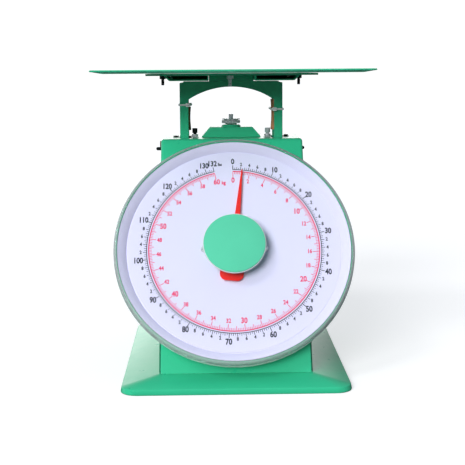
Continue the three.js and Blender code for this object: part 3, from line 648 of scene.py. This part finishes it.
def makeDrum():
    r, front, back, wall = (drumForm[key] for key in ("radius", "front", "back", "wall"))
    bm = bmesh.new()
    addTurned(bm, [
        (6.5, back), (r - 8, back), (r - 3.5, back + 1.1), (r - 1.2, back + 3.4), (r, back + 6.4),
        (r, front - 0.6), (r - 0.3, front), (r - wall + 0.2, front), (r - wall, front - 0.5), (r - wall, back + 6.8),
        (r - 2.2, back + 4.0), (r - 4.2, back + 2.0), (r - 8, back + wall), (6.5, back + wall),
    ], 180)
    finishPiece(bm, "dialDrumSpun", "case", greenEnamel, ["dial_drum"], place=onDial)


makeDrum()

coverForm = {"radius": 131.6, "skirt": -3, "shoulder": 9.6, "crown": 17.2, "wall": 1.8}


def makeCover():
    r, skirt, shoulder, crown, wall = coverForm.values()
    bm = bmesh.new()
    addTurned(bm, [
        (0, crown), (30, crown - 0.35), (60, crown - 1.45), (90, crown - 3.6), (110, crown - 5.5),
        (r - 7, shoulder + 0.2), (r - 3.6, shoulder - 0.8), (r - 1.4, shoulder - 2.4), (r - 0.5, shoulder - 4.4),
        (r - 0.5, skirt + 1.6), (r, skirt + 1.2), (r, skirt), (r - wall, skirt), (r - wall, shoulder - 4.8),
        (r - 2.9, shoulder - 3.4),
        (r - 4.4, shoulder - 2.3), (r - 7.4, shoulder - wall + 0.3), (110, crown - 5.5 - wall),
        (90, crown - 3.6 - wall),
        (60, crown - 1.45 - wall), (30, crown - 0.35 - wall), (0, crown - wall),
    ], 180, closed=False)
    finishPiece(bm, "dialCoverMoulded", "case", clearCover, ["dial_cover"], place=onDial)


makeCover()

badgeForm = {"radius": 33.4, "from": 18, "to": 20.6, "rim": 34.2}


def makeBadge():
    f = badgeForm
    r, top, foot = f["radius"], f["to"], f["from"]
    bm = bmesh.new()
    addTurned(bm, [
        (0, top), (r * 0.5, top - 0.4), (r - 1.2, top - 0.85), (r - 0.3, top - 1.1), (r, top - 1.5),
        (r, foot + 0.4), (r - 0.4, foot), (0, foot),
    ], 128, closed=False)
    finishPiece(bm, "coverBadgeDisc", "case", badgeEnamel, ["cover_badge"], place=onDial)
    bm = bmesh.new()
    addTurned(bm, [
        (f["radius"] + 0.1, 17.0), (f["rim"] - 0.3, 16.9), (f["rim"], 17.2), (f["rim"] - 0.1, f["from"] + 0.5),
        (f["rim"] - 0.4, f["from"] + 0.8), (f["radius"] + 0.2, f["from"] + 0.7),
    ], 128)
    finishPiece(bm, "badgeRim", "case", rimPlastic, place=onDial)


makeBadge()

# ---- the printed scale: pounds outside in black, kilograms inside in pink
fullTurn = 347.27  # degrees from zero to full load
poundForm = {"full": 132, "arc": 95.4, "line": 0.8, "bigNumbers": 105.2, "smallNumbers": 101.9,
             "bigSize": 8.9, "smallSize": 5.4}
kiloForm = {"full": 60, "arc": 93.2, "line": 1.2, "numbers": 82.2, "bigSize": 8.6, "size": 6.6}
inkTop = 0.09
inkFoot = -0.05


def dialPoint(angle, radius):
    turn = math.radians(angle)
    return Vector((radius * math.sin(turn), radius * math.cos(turn), 0))


# one tick, from its inner to its outer radius
def addTick(bm, angle, inner, outer, width):
    made = addBlock(bm, (-width / 2, inner, inkFoot), (width / 2, outer, inkTop))
    bmesh.ops.rotate(bm, cent=(0, 0, 0), matrix=Matrix.Rotation(-math.radians(angle), 3, "Z"), verts=made)


# an arc line from zero to full load
def addArc(bm, radius, width):
    made = addBlock(bm, (-0.02, radius - width / 2, inkFoot), (0.0, radius + width / 2, inkTop))
    end = [f for f in {f for v in made for f in v.link_faces} if f.normal.x > 0.9]
    bmesh.ops.spin(bm, geom=end, cent=(0, 0, 0), axis=(0, 0, -1), angle=math.radians(fullTurn), steps=240)


# letters or numbers, as a thin mesh, upright on the dial
def addText(bm, text, size, centre, weight=0.012, narrow=0.82):
    curve = bpy.data.curves.new("letters", "FONT")
    curve.body = text
    curve.size = size
    curve.align_x = "CENTER"
    curve.align_y = "CENTER"
    curve.extrude = (inkTop - inkFoot) / 2
    curve.offset = weight * size
    curve.resolution_u = 3
    letters = bpy.data.objects.new("letters", curve)
    scene.collection.objects.link(letters)
    bpy.context.view_layer.update()
    graph = bpy.context.evaluated_depsgraph_get()
    mesh = bpy.data.meshes.new_from_object(letters.evaluated_get(graph))
    known = set(bm.verts)
    bm.from_mesh(mesh)
    fresh = [v for v in bm.verts if v not in known]
    bmesh.ops.scale(bm, vec=(narrow, 1, 1), verts=fresh)
    bmesh.ops.translate(bm, vec=(centre[0], centre[1], (inkTop + inkFoot) / 2), verts=fresh)
    bpy.data.objects.remove(letters)
    bpy.data.curves.remove(curve)
    bpy.data.meshes.remove(mesh)


def makePoundScale():
    f = poundForm
    bm = bmesh.new()
    addArc(bm, f["arc"], f["line"])
    for half in range(2 * f["full"] + 1):
        length, width = (2.4, 0.52)
        if half % 2 == 0:
            length, width = (3.1, 0.56)
        if half % 4 == 0:
            length, width = (3.9, 0.62)
        if half % 20 == 0 or half == 2 * f["full"]:
            length, width = (5.4, 0.8)
        addTick(bm, half * fullTurn / (2 * f["full"]), f["arc"], f["arc"] + length, width)
    for pounds in list(range(0, f["full"] - 1, 2)) + [f["full"]]:
        angle = pounds * fullTurn / f["full"]
        if pounds % 10 == 0 or pounds == f["full"]:
            addText(bm, str(pounds), f["bigSize"], dialPoint(angle, f["bigNumbers"]), 0.034, 0.8)
        else:
            addText(bm, str(pounds % 10), f["smallSize"], dialPoint(angle, f["smallNumbers"]), 0.038)
    addText(bm, "lbs", 5.0, dialPoint(fullTurn, f["bigNumbers"]) + Vector((8.6, -0.9, 0)), 0.04)
    finishPiece(bm, "poundScalePrint", "case", printBlack, place=onDial)


def makeKiloScale():
    f = kiloForm
    bm = bmesh.new()
    addArc(bm, f["arc"], f["line"])
    for fifth in range(5 * f["full"] + 1):
        length, width = (3.4, 0.6)
        if fifth % 5 == 0:
            length, width = (5.6, 0.66)
        if fifth % 10 == 0:
            length, width = (7.4, 0.74)
        addTick(bm, fifth * fullTurn / (5 * f["full"]), f["arc"] - length, f["arc"], width)
    for kilos in range(0, f["full"] + 1, 2):
        angle = kilos * fullTurn / f["full"]
        size = f["bigSize"] if kilos % 10 == 0 else f["size"]
        addText(bm, str(kilos), size, dialPoint(angle, f["numbers"]), 0.034)
    addText(bm, "kg", 6.0, dialPoint(fullTurn, f["numbers"]) + Vector((7.6, -0.9, 0)), 0.04)
    finishPiece(bm, "kiloScalePrint", "case", printPink, place=onDial)


makePoundScale()
makeKiloScale()

# ---- pointer ----
pointerForm = {"tip": 94, "tail": 38, "tailHalf": 12.9, "from": 3.4, "to": 4.3, "rest": 6.2, "neck": 20,
               "tailCorner": 7.5}
atRest = onDial @ Matrix.Rotation(-math.radians(pointerForm["rest"]), 4, "Z")


def makePointer():
    f = pointerForm
    bm = bmesh.new()
    side, neck, foot = f["tailHalf"], -f["neck"], -f["tail"]
    blade = [(-0.7, f["tip"]), (-4.1, 12), (-6, neck + 4), (-side, neck), (-side, foot),
             (side, foot), (side, neck), (6, neck + 4), (4.1, 12), (0.7, f["tip"])]
    addSlab(bm, blade, f["from"], f["to"])
    tail = [e for e in bm.edges
            if all(v.co.y < foot + 0.1 for v in e.verts) and abs(e.verts[0].co.x - e.verts[1].co.x) < 0.01]
    bmesh.ops.bevel(bm, geom=tail, offset=f["tailCorner"], offset_type="OFFSET", segments=10, profile=0.5,
                    affect="EDGES", material=-1)
    softenEdges(bm, 0.25, 2, 60)
    finishPiece(bm, "pointerBlade", "indicator", pointerRed, ["pointer"], place=atRest)


makePointer()


# a slotted pan head screw on the dial's face
def makeDialScrew(side, s):
    bm = bmesh.new()
    addTurned(bm, [(0, 2.1), (1.8, 1.95), (3.3, 1.4), (4.0, 0.7), (4.0, 0.3), (1.2, 0.3), (1.2, -7.5), (0, -8)],
              40, closed=False)
    bm = cutShape(bm, [blockShape((-4.5, -0.5, 1.2), (4.5, 0.5, 3))])
    turn = Matrix.Translation((s * 32.5, 0, 0)) @ Matrix.Rotation(math.radians(25 + 40 * s), 4, "Z")
    finishPiece(bm, "dialScrew" + side.title(), "case", brightZinc, ["dial_screw_" + side],
                place=onDial @ turn)


for side, s in (("left", -1), ("right", 1)):
    makeDialScrew(side, s)
print("dial made")

# ---- load frame ----
archForm = {"halfX": 60.3, "leg": 10, "y0": 36, "y1": 80, "top": 320, "crown": 315, "spring": 300,
            "foot": 80, "wall": 2.5, "lipHalf": 55.8, "lipTop": 321.3, "pinHole": 3.3, "link": 58, "lean": 5}


def makeArch():
    f = archForm
    inner = f["halfX"] - f["leg"]
    rise = f["crown"] - f["spring"]
    radius = (inner * inner + rise * rise) / (2 * rise)
    spread = math.asin(inner / radius)
    bm = bmesh.new()
    start = bm.verts.new((-inner, f["spring"], 0))
    bmesh.ops.spin(bm, geom=[start], cent=(0, f["crown"] - radius, 0), axis=(0, 0, -1), angle=2 * spread, steps=48)
    bm.verts.ensure_lookup_table()
    last = max(bm.verts, key=lambda v: v.co.x)
    corners = [(inner, f["foot"]), (f["halfX"], f["foot"]), (f["halfX"], f["top"]), (f["lipHalf"], f["top"]),
               (f["lipHalf"], f["lipTop"]), (-f["lipHalf"], f["lipTop"]), (-f["lipHalf"], f["top"]),
               (-f["halfX"], f["top"]), (-f["halfX"], f["foot"]), (-inner, f["foot"])]
    chain = [last] + [bm.verts.new((x, z, 0)) for x, z in corners] + [start]
    for one, other in zip(chain, chain[1:]):
        bm.edges.new((one, other))
    bmesh.ops.contextual_create(bm, geom=bm.edges[:])
    grown = bmesh.ops.extrude_face_region(bm, geom=bm.faces[:])["geom"]
    bmesh.ops.translate(bm, vec=(0, 0, f["y1"] - f["y0"]), verts=vertsOf(grown))
    bmesh.ops.transform(bm, matrix=Matrix.Translation((0, f["y1"], 0)) @ acrossY, verts=bm.verts)
    bmesh.ops.recalc_face_normals(bm, faces=bm.faces)

    def onOutside(v):
        return abs(abs(v.co.x) - f["halfX"]) < 0.01 or abs(v.co.z - f["top"]) < 0.01

    outer = [e for e in bm.edges
             if e.calc_length() > 20 and all(onOutside(v) for v in e.verts)
             and not all(abs(v.co.z - f["foot"]) < 0.01 for v in e.verts)]
    bmesh.ops.bevel(bm, geom=outer, offset=1.6, offset_type="OFFSET", segments=5, profile=0.5,
                    affect="EDGES", material=-1, clamp_overlap=True)
    w = f["wall"]
    cutters = [blockShape((-f["halfX"] + w, f["y0"] + w, f["foot"] - 5),
                          (f["halfX"] - w, f["y1"] - w, f["top"] - w))]
    lean = math.radians(f["lean"])
    pinY = holeForm["shaftY"] - f["link"] * math.cos(lean)
    for z in holeForm["shaftHeights"]:
        height = z + f["link"] * math.sin(lean)
        cutters.append(rodShape(f["pinHole"], (-70, pinY, height), (70, pinY, height)))
    bm = cutShape(bm, cutters)
    finishPiece(bm, "archYokePressed", "platform", greenEnamel, ["arch_yoke"])


makeArch()

# the tray: a flat floor, a rim that flares up, a rolled edge and open mitres at its corners
trayForm = {"halfX": 151, "y0": -104, "y1": 150, "rim": 13, "z": 331, "top": 334.9, "sheet": 1.2, "slit": 0.7}


def makeTray():
    f = trayForm
    bm = bmesh.new()

    def loop(inset, corner, z):
        return addRing(bm, f["halfX"] - inset, f["y0"] + inset, f["y1"] - inset, corner, z, 6)

    top = f["top"]
    loops = [loop(f["rim"] + 1, 3, f["z"]), loop(f["rim"] - 1, 3.4, f["z"] + 0.15), loop(3, 6, top - 2.1),
             loop(1.0, 7, top - 1.9), loop(0.25, 7.4, top - 1.5), loop(0, 7.5, top - 1.0),
             loop(0.3, 7.4, top - 0.4), loop(1.1, 7, top), loop(1.9, 6.5, top - 0.15), loop(2.4, 6.2, top - 0.6),
             loop(f["rim"] - 0.6, 3.4, f["z"] + f["sheet"] + 0.35), loop(f["rim"] + 1.4, 3, f["z"] + f["sheet"])]
    bridgeRings(bm, loops, False)
    for rim in (loops[0], loops[-1]):
        bmesh.ops.contextual_create(bm, geom=rim)
    cutters = []
    for sx in (-1, 1):
        for cornerY, sy in ((f["y0"], -1), (f["y1"], 1)):
            slit = bmesh.new()
            addBlock(slit, (0, -f["slit"], f["z"] - 3), (24, f["slit"], top + 3))
            turn = Matrix.Rotation(math.atan2(sy, sx), 4, "Z")
            inset = f["rim"] - 1.5
            start = Matrix.Translation((sx * (f["halfX"] - inset), cornerY - sy * inset, 0))
            bmesh.ops.transform(slit, matrix=start @ turn, verts=slit.verts)
            cutters.append(slit)
    bm = cutShape(bm, cutters)
    finishPiece(bm, "trayPressed", "platform", greenEnamel, ["tray"])


makeTray()
refineNode("support_plate", 0.5)
refineNode("support_channel_left", 0.5)
refineNode("support_channel_right", 0.5)
refineNode("centre_plate", 0.4)


# a threaded stud: rings of thread between two heights, with a bevelled free end
def threadProfile(radius, low, high, pitch, depth):
    points = [(0, low), (radius - 0.5, low), (radius, low + 0.5)]
    z = low + 0.5 + pitch / 2
    while z + pitch < high - 0.5:
        points += [(radius, z), (radius - depth, z + pitch * 0.4), (radius, z + pitch * 0.8)]
        z += pitch
    return points + [(radius, high - 0.5), (radius - 0.5, high), (0, high)]


# a hexagon nut with a bore and bevelled corners
def addHexNut(bm, centre, across, bore, low, high, turn=0):
    hexagon = bmesh.ops.create_circle(bm, segments=6, radius=across)["verts"]
    bmesh.ops.rotate(bm, cent=(0, 0, 0), matrix=Matrix.Rotation(turn, 3, "Z"), verts=hexagon)
    outer = list({e for v in hexagon for e in v.link_edges})
    hole = bmesh.ops.create_circle(bm, segments=24, radius=bore)["verts"]
    inner = list({e for v in hole for e in v.link_edges})
    faces = bmesh.ops.bridge_loops(bm, edges=outer + inner)["faces"]
    grown = bmesh.ops.extrude_face_region(bm, geom=faces)["geom"]
    bmesh.ops.translate(bm, vec=(0, 0, high - low), verts=vertsOf(grown))
    made = list(set(hexagon) | set(hole) | set(vertsOf(grown)))
    bmesh.ops.translate(bm, vec=(centre[0], centre[1], low), verts=made)


def addStud(bm, centre, radius, low, high, pitch=0.8):
    stud = bmesh.new()
    addTurned(stud, threadProfile(radius, low, high, pitch, pitch * 0.45), 32, closed=False)
    bmesh.ops.translate(stud, vec=(centre[0], centre[1], 0), verts=stud.verts)
    joinShape(bm, stud)


# adds one shape's mesh to another
def joinShape(bm, other):
    mesh = bpy.data.meshes.new("joined")
    other.to_mesh(mesh)
    other.free()
    bm.from_mesh(mesh)
    bpy.data.meshes.remove(mesh)


def makeTrayFasteners():
    for side, s in (("left", -1), ("right", 1)):
        low, high = boxOf("tray_bolt_" + side)
        x, y = (low.x + high.x) / 2, (low.y + high.y) / 2
        bm = bmesh.new()
        addStud(bm, (x, y), 1.9, low.z, high.z)
        finishPiece(bm, "trayBolt" + side.title(), "platform",
                    blackenedSteel, ["tray_bolt_" + side])
        low, high = boxOf("tray_nut_" + side)
        bm = bmesh.new()
        addHexNut(bm, (x, y), 3.7, 2.1, low.z, high.z, 0.3 * s)
        softenEdges(bm, 0.35, 2, 40)
        finishPiece(bm, "trayNut" + side.title(), "platform",
                    blackenedSteel, ["tray_nut_" + side])
    low, high = boxOf("centre_bolt")
    x, y = (low.x + high.x) / 2, (low.y + high.y) / 2
    bm = bmesh.new()
    addStud(bm, (x, y), 2.3, low.z, high.z, 0.9)
    finishPiece(bm, "centreBoltThreaded", "platform", brightZinc, ["centre_bolt"])
    low, high = boxOf("centre_nut")
    bm = bmesh.new()
    addHexNut(bm, (x, y), 4.4, 2.5, low.z, high.z, 0.2)
    softenEdges(bm, 0.4, 2, 40)
    finishPiece(bm, "centreNutHex", "platform", brightZinc, ["centre_nut"])


makeTrayFasteners()
print("load frame made")

# ---- zero adjuster ----
zeroY = holeForm["zeroY"]  # the adjuster's axis
hatForm = {"topHalf": 25.3, "footHalf": 34.8, "y0": 46, "y1": 70, "foot": 255.8, "top": 267.4, "sheet": 2}


def makeHat():
    f = hatForm
    bm = bmesh.new()
    outline = [(-f["footHalf"], f["foot"]), (f["footHalf"], f["foot"]), (f["footHalf"], f["foot"] + 0.8),
               (f["topHalf"], f["top"]), (-f["topHalf"], f["top"]), (-f["footHalf"], f["foot"] + 0.8)]
    addSlab(bm, outline, 0, f["y1"] - f["y0"])
    bmesh.ops.transform(bm, matrix=Matrix.Translation((0, f["y1"], 0)) @ acrossY, verts=bm.verts)
    bmesh.ops.recalc_face_normals(bm, faces=bm.faces)
    softenEdges(bm, 1.3, 4, 30, lambda e: min(v.co.z for v in e.verts) > f["foot"] + 0.2)
    inside = bmesh.new()
    w = f["sheet"]
    side, foot, top = f["footHalf"] - 3, f["foot"], f["top"] - w
    crown = f["topHalf"] - 1.4
    hollow = [(-side, foot - 3), (side, foot - 3), (side, foot + 0.4), (crown, top), (-crown, top),
              (-side, foot + 0.4)]
    addSlab(inside, hollow, 0, f["y1"] - f["y0"] - 2 * w)
    bmesh.ops.transform(inside, matrix=Matrix.Translation((0, f["y1"] - w, 0)) @ acrossY, verts=inside.verts)
    bm = cutShape(bm, [inside, rodShape(3.2, (0, zeroY, f["foot"]), (0, zeroY, f["top"] + 5))])
    finishPiece(bm, "zeroBracketPressed", "case", greenEnamel, ["zero_bracket"])
    bm = bmesh.new()
    addTurned(bm, [(3.2, 267.7), (11.8, 267.7), (11.6, 268.6), (10.6, 269.7), (9.6, 270.1), (3.2, 270.1)], 64)
    bmesh.ops.translate(bm, vec=(0, zeroY, 0), verts=bm.verts)
    finishPiece(bm, "zeroBossDomed", "case", greenEnamel, ["zero_boss"])


makeHat()
thumbForm = {"foot": 271.7, "disc": 3.6, "collar": 5.6, "radius": 11, "collarRadius": 10.6, "ribs": 36, "bore": 2.9}


def makeThumbNut():
    f = thumbForm
    bm = bmesh.new()
    # the knurled disc: every second step of the rim is drawn in
    addTurned(bm, [(f["bore"], 0), (f["radius"] - 0.6, 0), (f["radius"], 0.5), (f["radius"], f["disc"] - 0.5),
                   (f["radius"] - 0.6, f["disc"]), (f["bore"], f["disc"])], 2 * f["ribs"])
    step = 2 * math.pi / (2 * f["ribs"])
    for vert in bm.verts:
        around = round(math.atan2(vert.co.y, vert.co.x) / step)
        if vert.co.xy.length > f["radius"] - 0.1 and around % 2:
            vert.co.xy *= 1 - 0.55 / f["radius"]
    joinShape(bm, turnedShape([(f["bore"], f["disc"] - 0.1), (8.4, f["disc"] - 0.1), (8.4, f["disc"] + 0.7),
                               (f["collarRadius"] - 0.3, f["disc"] + 0.7), (f["collarRadius"], f["disc"] + 1.0),
                               (f["collarRadius"], f["collar"] - 0.3), (f["collarRadius"] - 0.4, f["collar"]),
                               (f["bore"], f["collar"])], 64))
    bmesh.ops.translate(bm, vec=(0, zeroY, f["foot"]), verts=bm.verts)
    finishPiece(bm, "zeroNutKnurled", "thumb_nut", brightZinc, ["zero_nut"])
    bm = turnedShape([(3.2, 270.4), (6.8, 270.4), (7.0, 270.6), (7.0, 271.3), (6.8, 271.4), (3.2, 271.4)], 48)
    bmesh.ops.translate(bm, vec=(0, zeroY, 0), verts=bm.verts)
    finishPiece(bm, "zeroWasherFlat", "case", brightZinc, ["zero_washer"])
    low, high = boxOf("zero_screw")
    bm = bmesh.new()
    addStud(bm, (0, zeroY), 2.8, low.z, high.z, 1.0)
    finishPiece(bm, "zeroScrewThreaded", "zero_carriage", brightZinc, ["zero_screw"])


def turnedShape(profile, steps=48, closed=True):
    bm = bmesh.new()
    addTurned(bm, profile, steps, closed)
    return bm


makeThumbNut()


# bolts through the roof, each with a locknut on the roof and a hexagon head above it
def makeRoofFasteners():
    for side, s in (("left", -1), ("right", 1)):
        finish, slotName = (blackenedSteel, "dark_steel") if s < 0 else (brightZinc, "zinc")
        low, high = boxOf("roof_bolt_" + side)
        x, y = s * holeForm["bolt"][0], holeForm["bolt"][1]
        bm = bmesh.new()
        addStud(bm, (x, y), 1.9, low.z, high.z - 5.2, 0.7)
        head = addRod(bm, 3.4, (x, y, high.z - 5.8), (x, y, high.z), 6)
        bmesh.ops.rotate(bm, cent=(x, y, 0), matrix=Matrix.Rotation(0.4 + 0.3 * s, 3, "Z"), verts=head)
        softenEdges(bm, 0.45, 2, 45, lambda e: min(v.co.z for v in e.verts) > high.z - 6)
        finishPiece(bm, "roofBolt" + side.title(), "case", finish, ["roof_bolt_" + side])
        low, high = boxOf("roof_nut_" + side)
        bm = bmesh.new()
        addHexNut(bm, (x, y), 3.9, 2.1, low.z + 0.9, high.z, 0.25)
        softenEdges(bm, 0.4, 2, 45)
        z = low.z
        flange = [(2.1, z), (4.6, z), (4.7, z + 0.1), (4.7, z + 0.7), (4.6, z + 0.8), (2.1, z + 0.8)]
        joinShape(bm, turnedAt(flange, x, y))
        finishPiece(bm, "roofNut" + side.title(), "case", brightZinc, ["roof_nut_" + side])
        low, high = boxOf("roof_screw_" + side)
        foot = high.z - 2.2
        crown = [(0, high.z), (1.8, high.z - 0.35), (3.0, high.z - 1.0), (3.6, foot + 0.4), (3.6, foot)]
        if s < 0:
            crown = [(0, foot + 1.3), (3.2, foot + 1.3), (3.6, foot + 0.9), (3.6, foot)]
        bm = turnedAt(crown + [(1.6, foot), (1.6, low.z), (0, low.z)], s * holeForm["screw"][0], holeForm["screw"][1],
                      closed=False)
        finishPiece(bm, "roofScrew" + side.title(), "case",
                    blackenedSteel, ["roof_screw_" + side])
        refineNode("side_nut_" + side, 0.4, 2, 45)


def turnedAt(profile, x, y, closed=True):
    bm = turnedShape(profile, 40, closed)
    bmesh.ops.translate(bm, vec=(x, y, 0), verts=bm.verts)
    return bm


makeRoofFasteners()


# shafts that end in domed heads outside the case
def makeLinkShafts():
    for level in ("upper", "lower"):
        low, high = boxOf("link_shaft_" + level)
        y, z = (low.y + high.y) / 2, (low.z + high.z) / 2
        reach = high.x
        end = [(0, reach), (1.2, reach - 0.3), (2.0, reach - 1.2), (2.1, reach - 2.0)]
        bm = turnedShape([(r, -x) for r, x in end] + end[::-1], 32, closed=False)
        turn = Matrix.Translation((0, y, z)) @ Matrix.Rotation(math.pi / 2, 4, "Y")
        finishPiece(bm, "linkShaft" + level.title(), "case", blackenedSteel,
                    ["link_shaft_" + level], place=turn)


makeLinkShafts()
print("fasteners made")


# ---- packing left on the legs
def makePacking():
    for side, s in (("left", -1), ("right", 1)):
        low, high = boxOf("packing_strip_" + side)
        bm = bmesh.new()
        addBlock(bm, low, high)
        long = [e for e in bm.edges if abs(e.verts[0].co.z - e.verts[1].co.z) > 5]
        bmesh.ops.subdivide_edges(bm, edges=long, cuts=14, use_grid_fill=True)
        # the board bows a little and its torn ends are uneven
        for vert in bm.verts:
            t = (vert.co.z - low.z) / (high.z - low.z)
            vert.co.x += s * 0.9 * math.sin(math.pi * t) - s * 0.3
            vert.co.y += 0.5 * math.sin(7 * t + s)
        softenEdges(bm, 0.3, 2, 50)
        finishPiece(bm, "packingStrip" + side.title(), "platform",
                    packingBoard, ["packing_strip_" + side])
        refineNode("cable_tie_" + side, 0.3, 2, 45)


makePacking()
print("packing made")


# ---- stage, light and camera
floorLook = {"size": 30, "colour": (0.55, 0.55, 0.56), "roughness": 0.7, "glow": 0.62, "dim": (0.06, 0.065, 0.07)}


# the floor is white where it is seen and dim where it lights the object from below
def makeFloor():
    look = floorLook
    bm = bmesh.new()
    bmesh.ops.create_grid(bm, x_segments=1, y_segments=1, size=look["size"])
    mesh = bpy.data.meshes.new("floor")
    bm.to_mesh(mesh)
    bm.free()
    floor = bpy.data.objects.new("floor", mesh)
    scene.collection.objects.link(floor)
    material = bpy.data.materials.new("paleFloor")
    material.use_nodes = True
    tree = material.node_tree
    shader = tree.nodes["Principled BSDF"]
    shader.inputs["Base Color"].default_value = (*look["colour"], 1)
    shader.inputs["Roughness"].default_value = look["roughness"]
    shader.inputs["Specular IOR Level"].default_value = 0.0
    shader.inputs["Emission Color"].default_value = (1, 1, 1, 1)
    shader.inputs["Emission Strength"].default_value = look["glow"]
    dim = addNode(tree, "ShaderNodeBsdfDiffuse")
    dim.inputs["Color"].default_value = (*look["dim"], 1)
    path = addNode(tree, "ShaderNodeLightPath")
    bounced = combine(tree, "MAXIMUM", path.outputs["Is Diffuse Ray"], path.outputs["Is Glossy Ray"])
    mix = addNode(tree, "ShaderNodeMixShader", [(bounced, 0), (shader.outputs[0], 1), (dim.outputs[0], 2)])
    tree.links.new(mix.outputs[0], tree.nodes["Material Output"].inputs["Surface"])
    mesh.materials.append(material)


# parts of the sky: the direction's axis, where the part is empty and where it is full
skyParts = {"low": ("Z", 0.6, 0.25), "level": ("Z", 0.24, 0.13), "behind": ("Y", -0.1, 0.5),
            "ahead": ("Y", 0.92, 0.97), "left": ("X", 0.26, 0.12)}
skyLook = {"tint": (0.78, 0.88, 1.0), "from": 0.16, "zenith": 0.62, "room": 0.16, "screen": 1.02,
           "grazing": 2.4, "seen": 1.05}


# a bluish sky overhead for the light, a white screen behind on the left in reflections, white where it is seen
def makeWorld():
    look = skyLook
    world = bpy.data.worlds.new("studio")
    world.use_nodes = True
    scene.world = world
    tree = world.node_tree
    around = addNode(tree, "ShaderNodeTexCoord")
    split = addNode(tree, "ShaderNodeSeparateXYZ", [(around.outputs["Generated"], 0)])
    part = {name: mapped(tree, split.outputs[axis], start, end).outputs[0]
            for name, (axis, start, end) in skyParts.items()}
    sky = mapped(tree, split.outputs["Z"], look["from"], 1, 0, look["zenith"])
    lighting = tree.nodes["Background"]
    lighting.inputs["Color"].default_value = (*look["tint"], 1)
    tree.links.new(sky.outputs[0], lighting.inputs["Strength"])
    band = combine(tree, "MULTIPLY", part["level"], part["ahead"])
    peak = mapped(tree, band, 0, 1, look["screen"], look["grazing"])
    corner = combine(tree, "MULTIPLY", part["low"], part["behind"])
    shine = mapped(tree, combine(tree, "MULTIPLY", corner, part["left"]), 0, 1, look["room"])
    tree.links.new(peak.outputs[0], shine.inputs["To Max"])
    mirrored = addNode(tree, "ShaderNodeBackground", [(shine.outputs[0], "Strength")])
    seen = addNode(tree, "ShaderNodeBackground", Strength=look["seen"])
    for white in (mirrored, seen):
        white.inputs["Color"].default_value = (1, 1, 1, 1)
    path = addNode(tree, "ShaderNodeLightPath")
    bounced = combine(tree, "MAXIMUM", path.outputs["Is Glossy Ray"], path.outputs["Is Transmission Ray"])
    glossy = addNode(tree, "ShaderNodeMixShader",
                     [(bounced, 0), (lighting.outputs[0], 1), (mirrored.outputs[0], 2)])
    passing = combine(tree, "MULTIPLY", path.outputs["Is Transmission Ray"], part["low"])
    direct = combine(tree, "MAXIMUM", path.outputs["Is Camera Ray"], passing)
    mix = addNode(tree, "ShaderNodeMixShader", [(direct, 0), (glossy.outputs[0], 1), (seen.outputs[0], 2)])
    tree.links.new(mix.outputs[0], tree.nodes["World Output"].inputs["Surface"])


# broad soft suns, even over the whole floor, whose discs aren't seen in the cover or the enamel
suns = {"key": {"place": (-0.53, -0.50, 0.68), "spread": 14, "power": 0.75},
        "front": {"place": (-0.36, -0.86, 0.36), "spread": 26, "power": 2.7}}


def makeSun(name, place, spread, power):
    data = bpy.data.lights.new(name, "SUN")
    data.angle = math.radians(spread)
    data.energy = power
    sun = bpy.data.objects.new(name, data)
    sun.visible_glossy = False
    sun.visible_transmission = False
    sun.location = place
    sun.rotation_euler = (-Vector(place)).to_track_quat("-Z", "Y").to_euler()
    scene.collection.objects.link(sun)


viewForm = {"place": (-25.11, -1236.1, 333.5), "pitch": 8.53, "yaw": 1.15, "roll": 0.43, "lens": 83.53}


def makeCamera():
    f = viewForm
    pitch, yaw, roll = (math.radians(f[key]) for key in ("pitch", "yaw", "roll"))
    ahead = Vector((math.sin(yaw) * math.cos(pitch), math.cos(yaw) * math.cos(pitch), -math.sin(pitch)))
    across = Vector((math.cos(yaw), -math.sin(yaw), 0))
    below = ahead.cross(across)
    right = across * math.cos(roll) + below * math.sin(roll)
    down = -across * math.sin(roll) + below * math.cos(roll)
    data = bpy.data.cameras.new("camera")
    data.lens = f["lens"]
    data.sensor_width = 36
    data.clip_end = 100
    camera = bpy.data.objects.new("camera", data)
    turn = Matrix((right, -down, -ahead)).transposed().to_4x4()
    camera.matrix_world = Matrix.Translation(Vector(f["place"]) / 1000) @ turn
    scene.collection.objects.link(camera)
    scene.camera = camera


makeFloor()
makeWorld()
for name, look in suns.items():
    makeSun(name, **look)
makeCamera()
print("stage ready")
